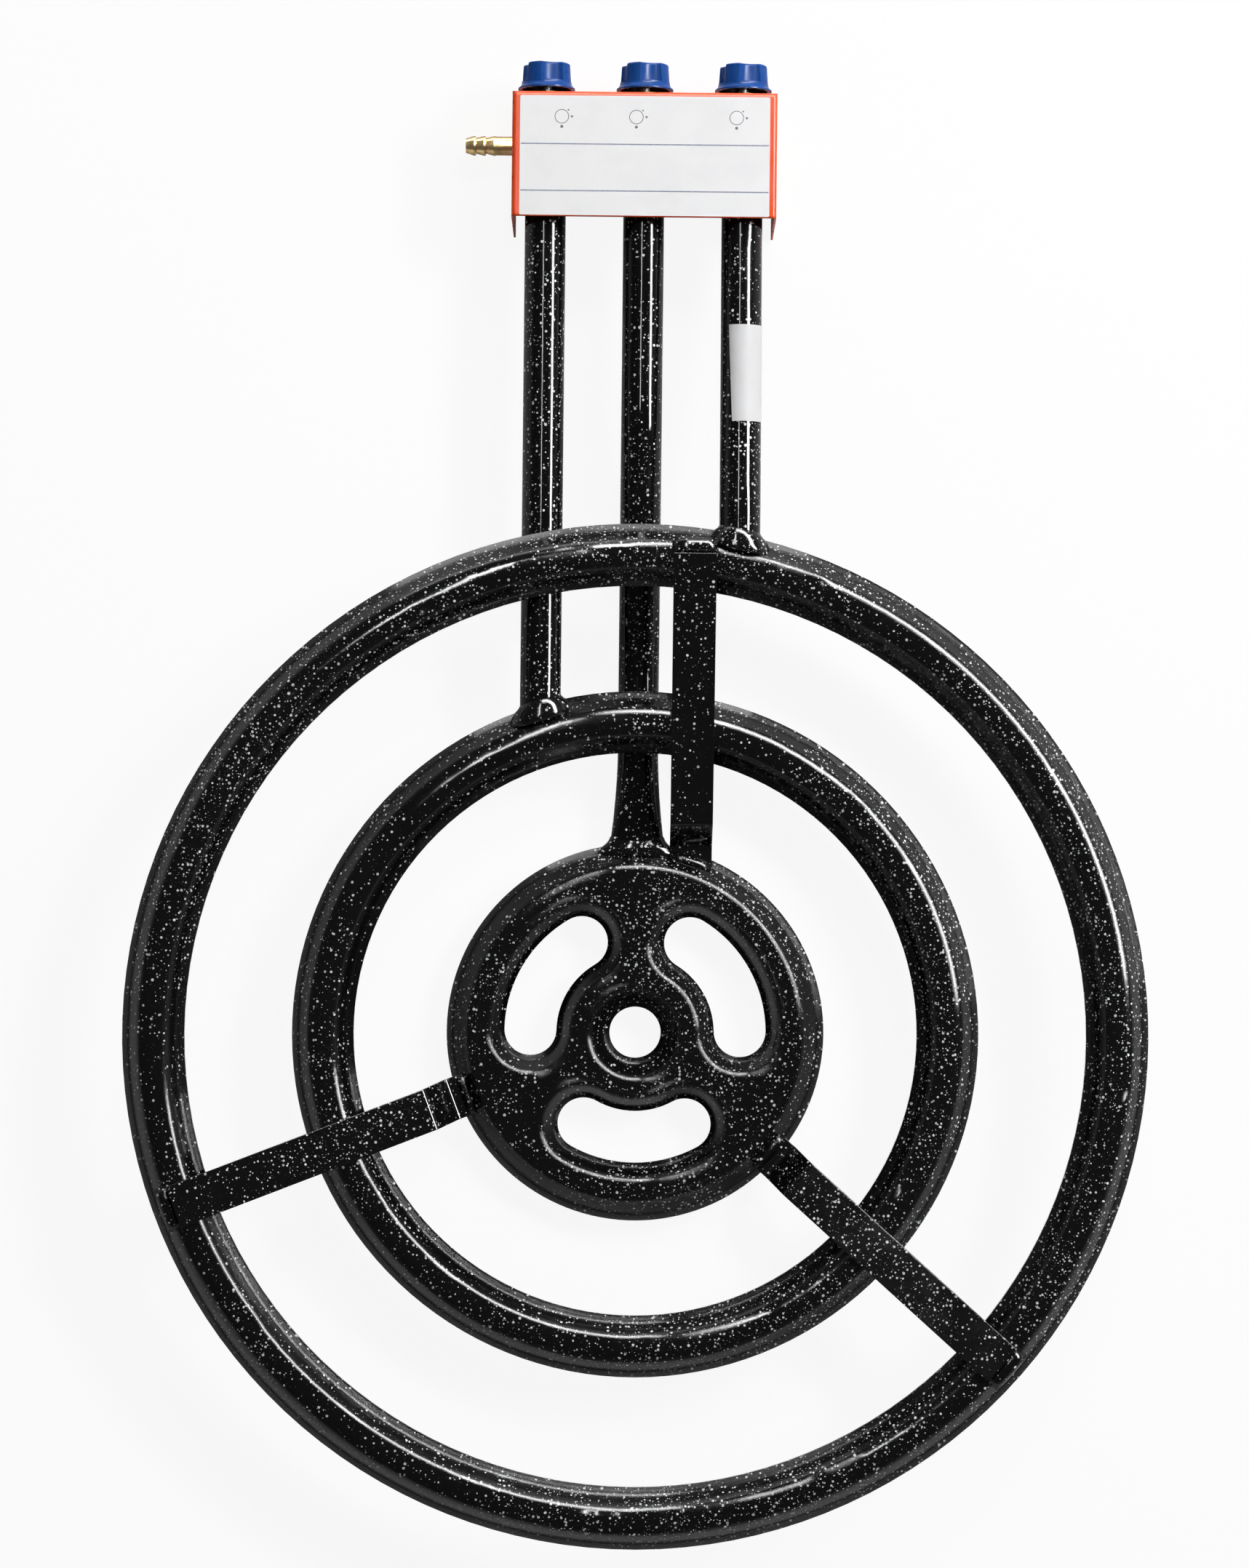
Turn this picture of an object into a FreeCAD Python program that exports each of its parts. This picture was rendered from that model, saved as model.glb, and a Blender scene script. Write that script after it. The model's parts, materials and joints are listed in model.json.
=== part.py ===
import FreeCAD
import Part
import math
import os
import Sketcher

# Paella burner: two pressed ring burners and a pressed centre disc, each fed by its own
# tube from a row of three taps in a sheet-metal box. All lengths are millimetres. The
# origin is on the floor under the middle of the whole part, +Y runs towards the knobs.

DOC = FreeCAD.newDocument("paella_burner")
SHEET = DOC.addObject("Spreadsheet::Sheet", "Sizes")

# Driving dimensions
DIMENSIONS = [
    ("outer_ring_diameter", 600, "large ring over its seam lip"),
    ("middle_ring_diameter", 405, "middle ring over its seam lip"),
    ("ring_width", 36.3, "width of a ring over both lips"),
    ("disc_diameter", 224.2, "centre disc over its seam lip"),
    ("sheet_gauge", 1.2, "pressed sheet of rings and disc"),
    ("seam_lip", 3, "flat lip where two shells meet"),
    ("press_radius", 1.6, "outer bend radius of the pressings"),
    ("upper_height", 13, "seam to crown of an upper shell"),
    ("crown_bulge", 2, "how far a ring crown swells above its shoulders"),
    ("upper_wall_run", 7, "sloping wall of an upper ring shell, in plan"),
    ("lower_depth", 8, "seam to underside of a lower ring shell"),
    ("lower_wall_run", 4, "sloping wall of a lower shell, in plan"),
    ("disc_depth", 13, "seam to underside of the disc"),
    ("disc_wall_run", 10.3, "sloping rim wall of the disc's upper shell"),
    ("air_hole_diameter", 30.5, "round air hole in the middle of the disc"),
    ("air_hole_lip", 2, "flat lip round each air opening of the disc"),
    ("air_hole_wall_run", 10, "sloping wall round the round air hole"),
    ("kidney_pitch_radius", 62.3, "radius of the kidney openings' middle line"),
    ("kidney_width", 30.9, "width of a kidney opening"),
    ("kidney_half_angle", 28.9, "degrees from a kidney's middle to its end centre"),
    ("kidney_wall_run", 7, "sloping wall round a kidney opening"),
    ("kidney_count", 3, "kidney openings in the disc"),
    ("port_width", 2, "gas port slot, along the ring"),
    ("port_height", 2.6, "gas port slot, up the wall"),
    ("outer_port_count", 72, "port pairs round the large ring"),
    ("middle_port_count", 48, "port pairs round the middle ring"),
    ("disc_port_count", 30, "ports round the disc"),
    ("tube_diameter", 24, "feed tube, outside"),
    ("tube_gauge", 1.5, "wall of a feed tube"),
    ("tube_spacing", 58, "centre distance of feed tubes and taps"),
    ("tube_level", 35, "height of the feed tubes at the box"),
    ("tube_bend_radius", 80, "centre-line radius of the tube bends"),
    ("tube_mouth_setback", 50, "tube mouth behind the front of the box"),
    ("joint_rise", 1.5, "tube axis above the seam where it enters a ring"),
    ("crossing_gap", 0.6, "tube under a ring that it crosses"),
    ("outer_bend_reach", 468, "first bend of the large ring's tube"),
    ("outer_level_run", 20, "level end of the large ring's tube"),
    ("centre_bend_reach", 363, "first bend of the disc's tube"),
    ("centre_level_lead", 14, "level run before the middle ring"),
    ("flare_length", 50, "flattened stretch in front of the disc"),
    ("flare_width", 32.1, "flattened end, across"),
    ("flare_height", 11.4, "flattened end, up"),
    ("flare_waist_width", 26.7, "halfway along the flattened stretch, across"),
    ("flare_waist_height", 20.2, "halfway along the flattened stretch, up"),
    ("flare_insert", 9, "flattened end inside the disc"),
    ("strap_width", 25, "flat bar support strap"),
    ("strap_gauge", 3, "thickness of a strap"),
    ("strap_overhang", 4, "strap end past the crown of the large ring"),
    ("strap_joggle_far", 18, "first joggle bend outside the disc"),
    ("strap_joggle_near", 5, "second joggle bend outside the disc"),
    ("strap_bend_radius", 4, "outer radius of the joggle bends"),
    ("strap_offset", 32, "strap beside the disc's feed tube"),
    ("left_strap_angle", 200.7, "degrees from +X, seen from above"),
    ("right_strap_angle", 318.9, "degrees from +X, seen from above"),
    ("weld_gap", 0.1, "welded pieces, face to face"),
    ("face_gap", 0.3, "moving faces that don't guide each other"),
    ("running_fit", 0.05, "radial clearance of turning and sliding pieces"),
    ("overrun", 2, "how far a cut passes the face that it leaves"),
    ("box_front_reach", 552.5, "front of the box from the middle of the rings"),
    ("box_width", 155, "control box, across"),
    ("box_depth", 73.2, "control box, front to back at the top"),
    ("box_height", 58, "control box, floor to top"),
    ("box_ear", 5, "how far the side walls reach back at their foot"),
    ("box_gauge", 1.2, "sheet of the box"),
    ("box_bend_radius", 2.4, "outer bend radius of the box"),
    ("box_notch", 3, "relief notch where three bends meet"),
    ("bracket_setback", 62, "tube bracket behind the front of the box"),
    ("bracket_gauge", 2, "sheet of the tube bracket"),
    ("bracket_height", 38, "tube bracket, up"),
    ("bracket_tab", 14, "side tab of the tube bracket"),
    ("manifold_size", 16, "square gas bar"),
    ("manifold_length", 144.6, "gas bar, across"),
    ("manifold_bore", 6, "gas passage along the bar"),
    ("manifold_thread", 8.8, "screwed ends of the gas bar"),
    ("manifold_setback", 25.5, "gas bar behind the front of the box"),
    ("gas_passage", 3.4, "cross passages of bar, tap and cone"),
    ("gasket_gauge", 1, "gasket between tap and bar"),
    ("gasket_diameter", 13, "gasket between tap and bar"),
    ("barb_reach", 28.7, "hose barb outside the box"),
    ("barb_tip_diameter", 8.5, "end of the hose barb"),
    ("barb_crest_diameter", 11.6, "hose barb over its crests"),
    ("barb_root_diameter", 9.2, "hose barb behind a crest"),
    ("barb_shank_diameter", 11.1, "hose barb in the wall of the box"),
    ("barb_count", 3, "crests of the hose barb"),
    ("barb_pitch", 5.9, "one barb"),
    ("barb_land", 1, "flat land of a crest"),
    ("barb_bore", 5, "gas passage of the hose barb"),
    ("barb_hex", 14, "hexagon of barb and plug, across flats"),
    ("barb_hex_length", 3.6, "hexagon of barb and plug, along"),
    ("thread_length", 8, "screwed end of barb and plug"),
    ("barrel_diameter", 20, "tap barrel"),
    ("barrel_length", 30, "tap barrel, front to back"),
    ("outlet_diameter", 14, "rear boss of a tap"),
    ("outlet_length", 9, "rear boss of a tap"),
    ("foot_width", 27, "foot of a tap, along the gas bar"),
    ("foot_height", 4, "foot plate of a tap"),
    ("foot_screw_spread", 20, "two screws of a tap foot"),
    ("foot_screw_diameter", 3, "screws of a tap foot"),
    ("foot_screw_head", 5.4, "screws of a tap foot, head"),
    ("foot_screw_head_height", 2, "screws of a tap foot, head"),
    ("foot_screw_bite", 2.8, "screws of a tap foot inside the gas bar"),
    ("neck_width", 12, "neck between barrel and foot"),
    ("barrel_drop", 4, "foot below the barrel"),
    ("chamber_diameter", 12.4, "spring chamber of a tap"),
    ("chamber_depth", 6.8, "spring chamber of a tap"),
    ("cone_front_diameter", 11.2, "tap cone at the front"),
    ("cone_rear_diameter", 8.4, "tap cone at the back"),
    ("cone_length", 18, "tap cone"),
    ("bonnet_width", 30, "flange of a tap bonnet"),
    ("bonnet_height", 19, "flange of a tap bonnet"),
    ("bonnet_gauge", 2.6, "flange of a tap bonnet"),
    ("bonnet_screw_spread", 24, "two screws of a bonnet"),
    ("ear_height", 9, "screw ears of a tap body"),
    ("ear_gauge", 3.4, "screw ears of a tap body"),
    ("nose_diameter", 12, "screwed nose of a bonnet"),
    ("nose_reach", 3, "nose in front of the box"),
    ("nut_size", 17, "panel nut, across flats"),
    ("nut_gauge", 2.4, "panel nut"),
    ("spindle_diameter", 6, "tap spindle"),
    ("spindle_flat", 1, "depth of the flat that drives the knob"),
    ("spindle_insert", 11, "spindle inside the knob"),
    ("collar_diameter", 9.4, "collar of the spindle"),
    ("collar_gauge", 1.2, "collar of the spindle"),
    ("tang_width", 6.6, "driving tang, across"),
    ("tang_gauge", 2.4, "driving tang, thickness"),
    ("tang_reach", 7.8, "driving tang behind the collar"),
    ("slot_depth", 6.2, "slot of the cone for the tang"),
    ("pin_reach", 5.4, "stop pin from the spindle's axis"),
    ("pin_diameter", 1.6, "stop pin"),
    ("stop_depth", 2.2, "stop recess in the bonnet"),
    ("stop_margin", 18, "degrees of the recess past the pin"),
    ("turn_range", 135, "degrees from off to low flame"),
    ("spring_wire", 0.6, "spring wire"),
    ("spring_diameter", 8.8, "spring, middle of the wire"),
    ("spring_turns", 2, "turns of the spring"),
    ("spring_arcs", 8, "arcs in one turn of the spring's line"),
    ("injector_thread", 7.8, "injector in the tap's outlet"),
    ("injector_end_gap", 1, "injector in front of the outlet's thread end"),
    ("injector_hex", 10, "injector, across flats"),
    ("injector_hex_length", 4, "injector hexagon, along"),
    ("injector_tip_length", 5, "injector nose"),
    ("injector_tip_diameter", 4, "end of the injector nose"),
    ("injector_orifice", 1.2, "gas jet"),
    ("knob_gap", 4.1, "knob in front of the box"),
    ("knob_length", 15.2, "knob, front to back"),
    ("knob_skirt_diameter", 33.5, "flared skirt of a knob"),
    ("knob_skirt_edge", 0.8, "straight edge of the skirt"),
    ("knob_skirt_flare", 4.4, "skirt and flare, front to back"),
    ("knob_flare_radius", 4, "hollow curve of the flare"),
    ("knob_grip_diameter", 29.4, "grip of a knob"),
    ("knob_draft", 0.8, "taper of the grip's radius"),
    ("knob_edge_radius", 1.2, "rounded front edge of a knob"),
    ("knob_flute_diameter", 21, "flutes of the grip"),
    ("knob_flute_depth", 4, "flutes of the grip"),
    ("knob_flute_count", 4, "flutes of the grip"),
    ("knob_flute_turn", 15, "degrees from the top of the grip to a flute"),
    ("knob_wall", 2.4, "moulded walls of a knob"),
    ("knob_recess_depth", 3, "hollow of the skirt behind the hub"),
    ("knob_hub_diameter", 11, "hub of a knob"),
    ("small_screw_diameter", 2.5, "bonnet screws"),
    ("small_screw_head", 4.4, "bonnet screws, head"),
    ("small_screw_sink", 1.2, "how deep a bonnet screw's head sits in the flange"),
    ("small_screw_bite", 2.2, "bonnet screw inside the tap body"),
]


def number(item):
    """Plain value of a Size or a number."""
    return item.value if isinstance(item, Size) else float(item)


def formula(item):
    """Sheet formula of a Size or a number."""
    return item.formula if isinstance(item, Size) else repr(float(item))


class Size:
    """A length that knows its value and the sheet formula that drives it."""

    def __init__(self, value, text):
        self.value = value
        self.formula = text

    def __add__(self, other):
        return Size(self.value + number(other), f"({self.formula} + {formula(other)})")

    def __sub__(self, other):
        return Size(self.value - number(other), f"({self.formula} - {formula(other)})")

    def __mul__(self, other):
        return Size(self.value * number(other), f"({self.formula} * {formula(other)})")

    def __truediv__(self, other):
        return Size(self.value / number(other), f"({self.formula} / {formula(other)})")

    def __radd__(self, other):
        return Size(number(other) + self.value, f"({formula(other)} + {self.formula})")

    def __rsub__(self, other):
        return Size(number(other) - self.value, f"({formula(other)} - {self.formula})")

    def __rmul__(self, other):
        return Size(number(other) * self.value, f"({formula(other)} * {self.formula})")

    def __rtruediv__(self, other):
        return Size(number(other) / self.value, f"({formula(other)} / {self.formula})")

    def __neg__(self):
        return Size(-self.value, f"(0 - {self.formula})")


def root_of(size):
    return Size(math.sqrt(size.value), f"sqrt({size.formula})")


def sine(size):
    return Size(math.sin(math.radians(number(size))), f"sin({formula(size)})")


def cosine(size):
    return Size(math.cos(math.radians(number(size))), f"cos({formula(size)})")


def tangent(size):
    return Size(math.tan(math.radians(number(size))), f"tan({formula(size)})")


class Dimensions:
    """Every driving dimension of the sheet, by its alias."""


D = Dimensions()
for row, (alias, value, meaning) in enumerate(DIMENSIONS, start=1):
    SHEET.set(f"A{row}", alias)
    SHEET.set(f"B{row}", str(value))
    SHEET.set(f"C{row}", meaning)
    SHEET.setAlias(f"B{row}", alias)
    setattr(D, alias, Size(float(value), f"Sizes.{alias}"))
DOC.recompute()

NODES = []
ZERO = Size(0, "0")
X_AXIS = FreeCAD.Vector(1, 0, 0)
Y_AXIS = FreeCAD.Vector(0, 1, 0)
Z_AXIS = FreeCAD.Vector(0, 0, 1)


# Placing, binding and joining

def bind(item, path, size):
    """Drive one property of an object from the sheet."""
    item.setExpression(path, formula(size))


def place(item, x=0, y=0, z=0, axis=Z_AXIS, angle=0):
    """Turn an object about an axis and set its origin; x, y, z and angle may be Sizes."""
    item.Placement = FreeCAD.Placement(FreeCAD.Vector(number(x), number(y), number(z)),
                                       FreeCAD.Rotation(axis, number(angle)))
    for path, size in (("Base.x", x), ("Base.y", y), ("Base.z", z), ("Rotation.Angle", angle)):
        if isinstance(size, Size):
            bind(item, f"Placement.{path}", size)
    return item


def node(item, label):
    """Name a finished sub-part; the label is its file name."""
    item.Label = label
    NODES.append(item)
    return item


def cut(name, base, tool):
    item = DOC.addObject("Part::Cut", name)
    item.Base = base
    item.Tool = tool
    return item


def fuse(name, shapes):
    item = DOC.addObject("Part::MultiFuse", name)
    item.Shapes = shapes
    return item


def cylinder(name, radius, height):
    item = DOC.addObject("Part::Cylinder", name)
    bind(item, "Radius", radius)
    bind(item, "Height", height)
    return item


def block(name, length, width, height):
    item = DOC.addObject("Part::Box", name)
    bind(item, "Length", length)
    bind(item, "Width", width)
    bind(item, "Height", height)
    return item


# Sketches

def new_body(name):
    return DOC.addObject("PartDesign::Body", name)


def new_sketch(body, role, height=0):
    """Sketch on one of the body's own origin planes, or parallel to it at a height."""
    plane = next(item for item in body.Origin.OriginFeatures if item.Role == role)
    sketch = body.newObject("Sketcher::SketchObject", body.Name + "_sketch")
    sketch.AttachmentSupport = [(plane, "")]
    sketch.MapMode = "FlatFace"
    if isinstance(height, Size):
        bind(sketch, "AttachmentOffset.Base.z", height)
    return sketch


def constrain(sketch, kind, where, size):
    """Add one dimension to a sketch and drive it from the sheet."""
    index = sketch.addConstraint(Sketcher.Constraint(kind, *where, number(size)))
    if isinstance(size, Size):
        sketch.setExpression(f"Constraints[{index}]", size.formula)


def fix_point(sketch, side, end, corner):
    """Hold one end of a side at a corner given by two sizes."""
    for axis, kind, size in ((-2, "DistanceX", corner[0]), (-1, "DistanceY", corner[1])):
        if number(size) == 0:
            sketch.addConstraint(Sketcher.Constraint("PointOnObject", side, end, axis))
        else:
            constrain(sketch, kind, (side, end), size)


def arc_between(start, finish, radius, turn):
    """Arc shorter than a half circle; turn is 1 anticlockwise, -1 clockwise."""
    middle = (start + finish) * 0.5
    chord = finish - start
    rise = math.sqrt(max(radius ** 2 - (chord.Length / 2) ** 2, 0))
    left = FreeCAD.Vector(-chord.y, chord.x, 0) * (1 / chord.Length)
    centre = middle + left * (rise * turn)
    first, last = (start, finish) if turn == 1 else (finish, start)
    begin = math.atan2(first.y - centre.y, first.x - centre.x)
    end = math.atan2(last.y - centre.y, last.x - centre.x)
    if end <= begin:
        end += 2 * math.pi
    return Part.ArcOfCircle(Part.Circle(centre, Z_AXIS, radius), begin, end)


def draw(sketch, corners, arcs=None, closed=True):
    """Sides through the corners; arcs maps a side's number to its radius and turn."""
    arcs = arcs or {}
    points = [FreeCAD.Vector(number(x), number(y), 0) for x, y in corners]
    sides = len(points) if closed else len(points) - 1
    ends = []
    for side in range(sides):
        start = points[side]
        finish = points[(side + 1) % len(points)]
        if side in arcs:
            radius, turn = arcs[side]
            index = sketch.addGeometry(arc_between(start, finish, number(radius), turn))
            constrain(sketch, "Radius", (index,), radius)
            ends.append((index, 1, 2) if turn == 1 else (index, 2, 1))
        else:
            index = sketch.addGeometry(Part.LineSegment(start, finish))
            ends.append((index, 1, 2))
    for side, (index, first, last) in enumerate(ends):
        fix_point(sketch, index, first, corners[side])
        if closed or side + 1 < sides:
            following = ends[(side + 1) % sides]
            sketch.addConstraint(
                Sketcher.Constraint("Coincident", index, last, following[0], following[1]))
        else:
            fix_point(sketch, index, last, corners[-1])
    return sketch


def draw_circle(sketch, x, y, radius):
    centre = FreeCAD.Vector(number(x), number(y), 0)
    index = sketch.addGeometry(Part.Circle(centre, Z_AXIS, number(radius)))
    fix_point(sketch, index, 3, (x, y))
    constrain(sketch, "Radius", (index,), radius)
    return sketch


def draw_rectangle(sketch, left, bottom, right, top):
    return draw(sketch, [(left, bottom), (right, bottom), (right, top), (left, top)])


def draw_hexagon(sketch, across_flats):
    """Hexagon about the origin with two flats across X."""
    half = across_flats / 2
    tip = across_flats / root_of(Size(3, "3"))
    share = tip / 2
    corners = [(half, -share), (half, share), (0, tip), (-half, share), (-half, -share), (0, -tip)]
    return draw(sketch, corners)


def draw_kidney(sketch, half_width):
    """Annular slot about -Y: two arcs about the origin joined by two round ends."""
    pitch = D.kidney_pitch_radius
    half_angle = D.kidney_half_angle
    reach = pitch * sine(half_angle)
    drop = -(pitch * cosine(half_angle))
    begin = math.radians(270 - number(half_angle))
    end = math.radians(270 + number(half_angle))
    outer = Part.Circle(FreeCAD.Vector(), Z_AXIS, number(pitch + half_width))
    inner = Part.Circle(FreeCAD.Vector(), Z_AXIS, number(pitch - half_width))
    left = Part.Circle(FreeCAD.Vector(-number(reach), number(drop), 0), Z_AXIS, number(half_width))
    right = Part.Circle(FreeCAD.Vector(number(reach), number(drop), 0), Z_AXIS, number(half_width))
    far = sketch.addGeometry(Part.ArcOfCircle(outer, begin, end))
    near = sketch.addGeometry(Part.ArcOfCircle(inner, begin, end))
    head = sketch.addGeometry(Part.ArcOfCircle(right, end, end + math.pi))
    tail = sketch.addGeometry(Part.ArcOfCircle(left, begin - math.pi, begin))
    for arc in (far, near):
        sketch.addConstraint(Sketcher.Constraint("Coincident", arc, 3, -1, 1))
    for first, first_end, second, second_end in (
            (far, 2, head, 1), (head, 2, near, 2), (near, 1, tail, 1), (tail, 2, far, 1)):
        sketch.addConstraint(
            Sketcher.Constraint("Tangent", first, first_end, second, second_end))
    constrain(sketch, "Radius", (far,), pitch + half_width)
    constrain(sketch, "Radius", (near,), pitch - half_width)
    constrain(sketch, "DistanceX", (head, 3), reach)
    constrain(sketch, "DistanceX", (tail, 3), -reach)
    return sketch


# Features

def pad(sketch, length, both_ways=False, backwards=False):
    body = sketch.getParentGeoFeatureGroup()
    feature = body.newObject("PartDesign::Pad", body.Name + "_pad")
    feature.Profile = sketch
    feature.Midplane = both_ways
    feature.Reversed = backwards
    bind(feature, "Length", length)
    return feature


def pocket(sketch, length, both_ways=False, backwards=False):
    body = sketch.getParentGeoFeatureGroup()
    feature = body.newObject("PartDesign::Pocket", body.Name + "_pocket")
    feature.Profile = sketch
    feature.Midplane = both_ways
    feature.Reversed = backwards
    bind(feature, "Length", length)
    return feature


def revolve(sketch, kind="PartDesign::Revolution"):
    """Full turn of a sketch about its own vertical axis."""
    body = sketch.getParentGeoFeatureGroup()
    feature = body.newObject(kind, body.Name + "_turn")
    feature.Profile = sketch
    feature.ReferenceAxis = (sketch, ["V_Axis"])
    feature.Angle = 360
    return feature


def groove(sketch):
    return revolve(sketch, "PartDesign::Groove")


def loft_cut(first, second):
    body = first.getParentGeoFeatureGroup()
    feature = body.newObject("PartDesign::SubtractiveLoft", body.Name + "_loft")
    feature.Profile = first
    feature.Sections = [second]
    feature.Ruled = True
    return feature


def repeat_round(feature, count):
    """Polar pattern of a feature about the body's own Z axis."""
    body = feature.getParentGeoFeatureGroup()
    axis = next(item for item in body.Origin.OriginFeatures if item.Role == "Z_Axis")
    pattern = body.newObject("PartDesign::PolarPattern", body.Name + "_pattern")
    pattern.Originals = [feature]
    pattern.Axis = (axis, [""])
    pattern.Angle = 360
    bind(pattern, "Occurrences", count)
    body.Tip = pattern
    return pattern


def fillet_edges(body, radius, wanted):
    """Round the edges of the body's last feature for which wanted(edge) holds."""
    DOC.recompute()
    base = body.Tip
    names = [f"Edge{index}" for index, edge in enumerate(base.Shape.Edges, start=1) if wanted(edge)]
    feature = body.newObject("PartDesign::Fillet", body.Name + "_fillet")
    feature.Base = (base, names)
    bind(feature, "Radius", radius)
    body.Tip = feature
    return feature


def near(first, second):
    return abs(first - second) < 1e-4


def level_edge(edge, height):
    """True for an edge that lies in one level plane at the height."""
    box = edge.BoundBox
    return near(box.ZMin, box.ZMax) and near(box.ZMin, number(height))


# Sizes that follow from the driving dimensions

OUTER_RADIUS = D.outer_ring_diameter / 2
MIDDLE_RADIUS = D.middle_ring_diameter / 2
DISC_RADIUS = D.disc_diameter / 2
KNOB_FRONT = D.box_front_reach + D.knob_gap + D.knob_length
RING_CENTRE = (OUTER_RADIUS - KNOB_FRONT) / 2
BOX_FRONT = RING_CENTRE + D.box_front_reach
SIDE_GAP = D.box_width / 2 - D.box_gauge - D.weld_gap
TAP_PLACES = (-D.tube_spacing, ZERO, D.tube_spacing)
BARREL_BOTTOM = D.barrel_diameter / 2 + D.barrel_drop
MANIFOLD_LEVEL = D.tube_level - BARREL_BOTTOM - D.gasket_gauge - D.manifold_size / 2
TUBE_RADIUS = D.tube_diameter / 2
TUBE_MOUTH = D.box_front_reach - D.tube_mouth_setback
MIDDLE_SEAM = D.tube_level - D.joint_rise
OUTER_SEAM = D.tube_level + TUBE_RADIUS + D.crossing_gap + D.lower_depth
LOW_TUBE_LEVEL = MIDDLE_SEAM - D.lower_depth - D.crossing_gap - TUBE_RADIUS
DISC_SEAM = D.disc_depth
UPPER = 1
LOWER = -1


def bend_shift(run, rise):
    """Sideways step between the two skins of a sheet where its wall leaves the lip."""
    slope = root_of(run * run + rise * rise)
    return D.sheet_gauge * (slope - run) / rise


# Pressed rings

def ring_shell(name, radius, seam, facing):
    """Half of a ring: lip, sloping wall, crown or flat underside, wall and lip."""
    gauge = D.sheet_gauge
    height = D.upper_height - D.crown_bulge if facing == UPPER else D.lower_depth
    run = D.upper_wall_run if facing == UPPER else D.lower_wall_run
    inside = radius - D.ring_width
    step = bend_shift(run, height - gauge)
    lip_top = seam + gauge * facing
    shoulder = seam + height * facing
    inner_shoulder = seam + (height - gauge) * facing
    corners = [
        (radius, seam),
        (radius, lip_top),
        (radius - D.seam_lip, lip_top),
        (radius - D.seam_lip - run, shoulder),
        (inside + D.seam_lip + run, shoulder),
        (inside + D.seam_lip, lip_top),
        (inside, lip_top),
        (inside, seam),
        (inside + D.seam_lip + step, seam),
        (inside + D.seam_lip + run + step, inner_shoulder),
        (radius - D.seam_lip - run - step, inner_shoulder),
        (radius - D.seam_lip - step, seam),
    ]
    arcs = {}
    if facing == UPPER:
        half_crown = D.ring_width / 2 - D.seam_lip - run
        crown = (half_crown * half_crown / D.crown_bulge + D.crown_bulge) / 2
        arcs = {3: (crown, 1), 9: (crown - gauge, -1)}
    body = new_body(name)
    revolve(draw(new_sketch(body, "XZ_Plane"), corners, arcs))
    fillet_edges(body, D.press_radius, lambda edge: level_edge(edge, shoulder))
    return body


def cut_ports(body, seam, count, walls, depth):
    """Slots through the lower walls; walls lists the radii between which each row cuts."""
    top = seam - (depth + D.sheet_gauge) / 2 + D.port_height / 2
    sketch = new_sketch(body, "XZ_Plane")
    sketch.AttachmentOffset = FreeCAD.Placement(
        FreeCAD.Vector(), FreeCAD.Rotation(Y_AXIS, number(180 / count)))
    bind(sketch, "AttachmentOffset.Rotation.Angle", 180 / count)
    for inside, outside in walls:
        draw_rectangle(sketch, inside, top - D.port_height, outside, top)
    return repeat_round(pocket(sketch, D.port_width, both_ways=True), count)


def ring_ports(body, radius, seam, count):
    reach = D.seam_lip + D.lower_wall_run + D.sheet_gauge
    inside = radius - D.ring_width
    walls = [(radius - reach, radius), (inside, inside + reach)]
    return cut_ports(body, seam, count, walls, D.lower_depth)


def ring_core(name, radius, seam, gap=0):
    """Plug that fills a ring inside the feet and shoulders of its outer walls."""
    low = cylinder(name + "_low", radius - D.seam_lip - D.lower_wall_run + gap, seam)
    high = cylinder(name + "_high", radius - D.seam_lip - D.upper_wall_run + gap,
                    D.box_height * 2)
    return fuse(name, [low, high])


def disc_core(name, gap=0):
    """Plug that fills the disc up to where its flattened feed tube ends."""
    return cylinder(name, DISC_RADIUS - D.flare_insert + gap, D.box_height * 2)


def tube_stub(name, x, level, reach):
    """Room for a feed tube where it enters a ring."""
    stub = cylinder(name, TUBE_RADIUS + D.weld_gap, reach)
    return place(stub, x, 0, level, X_AXIS, -90)


def build_ring(name, radius, seam, port_count, tube_x):
    """Upper and lower shell of one ring, notched for its feed tube."""
    stub = tube_stub(name + "_stub", tube_x, seam + D.joint_rise, radius + D.overrun)
    notch = cut(name + "_notch", stub, ring_core(name + "_core", radius, seam))
    upper = ring_shell(name + "_upper_form", radius, seam, UPPER)
    label = name + "_upper_shell"
    node(place(cut(label, upper, notch), 0, RING_CENTRE, 0), label)
    lower = ring_shell(name + "_lower_form", radius, seam, LOWER)
    label = name + "_lower_shell"
    body = new_body(label)
    body.BaseFeature = cut(name + "_lower_notched", lower, notch)
    ring_ports(body, radius, seam, port_count)
    node(place(body, 0, RING_CENTRE, 0), label)


# Pressed centre disc

def disc_form(name, lip_step, seam, height, rim_run, hole_run, facing, skin):
    """Solid inside one skin of a disc shell; skin is 0 for the outside, else the gauge."""
    hole = D.air_hole_diameter / 2
    crown = seam + (height - skin) * facing
    foot = seam + D.sheet_gauge * facing if lip_step == 0 else seam - D.overrun * facing
    rim = DISC_RADIUS - D.seam_lip
    mouth = hole + D.air_hole_lip
    if lip_step == 0:
        corners = [
            (hole, seam), (hole, foot), (mouth, foot), (mouth + hole_run, crown),
            (rim - rim_run, crown), (rim, foot), (DISC_RADIUS, foot), (DISC_RADIUS, seam),
        ]
    else:
        rim_step, hole_step = lip_step
        corners = [
            (mouth + hole_step, foot), (mouth + hole_step, seam),
            (mouth + hole_run + hole_step, crown), (rim - rim_run - rim_step, crown),
            (rim - rim_step, seam), (rim - rim_step, foot),
        ]
    body = new_body(name)
    revolve(draw(new_sketch(body, "XZ_Plane"), corners))
    return body


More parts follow.
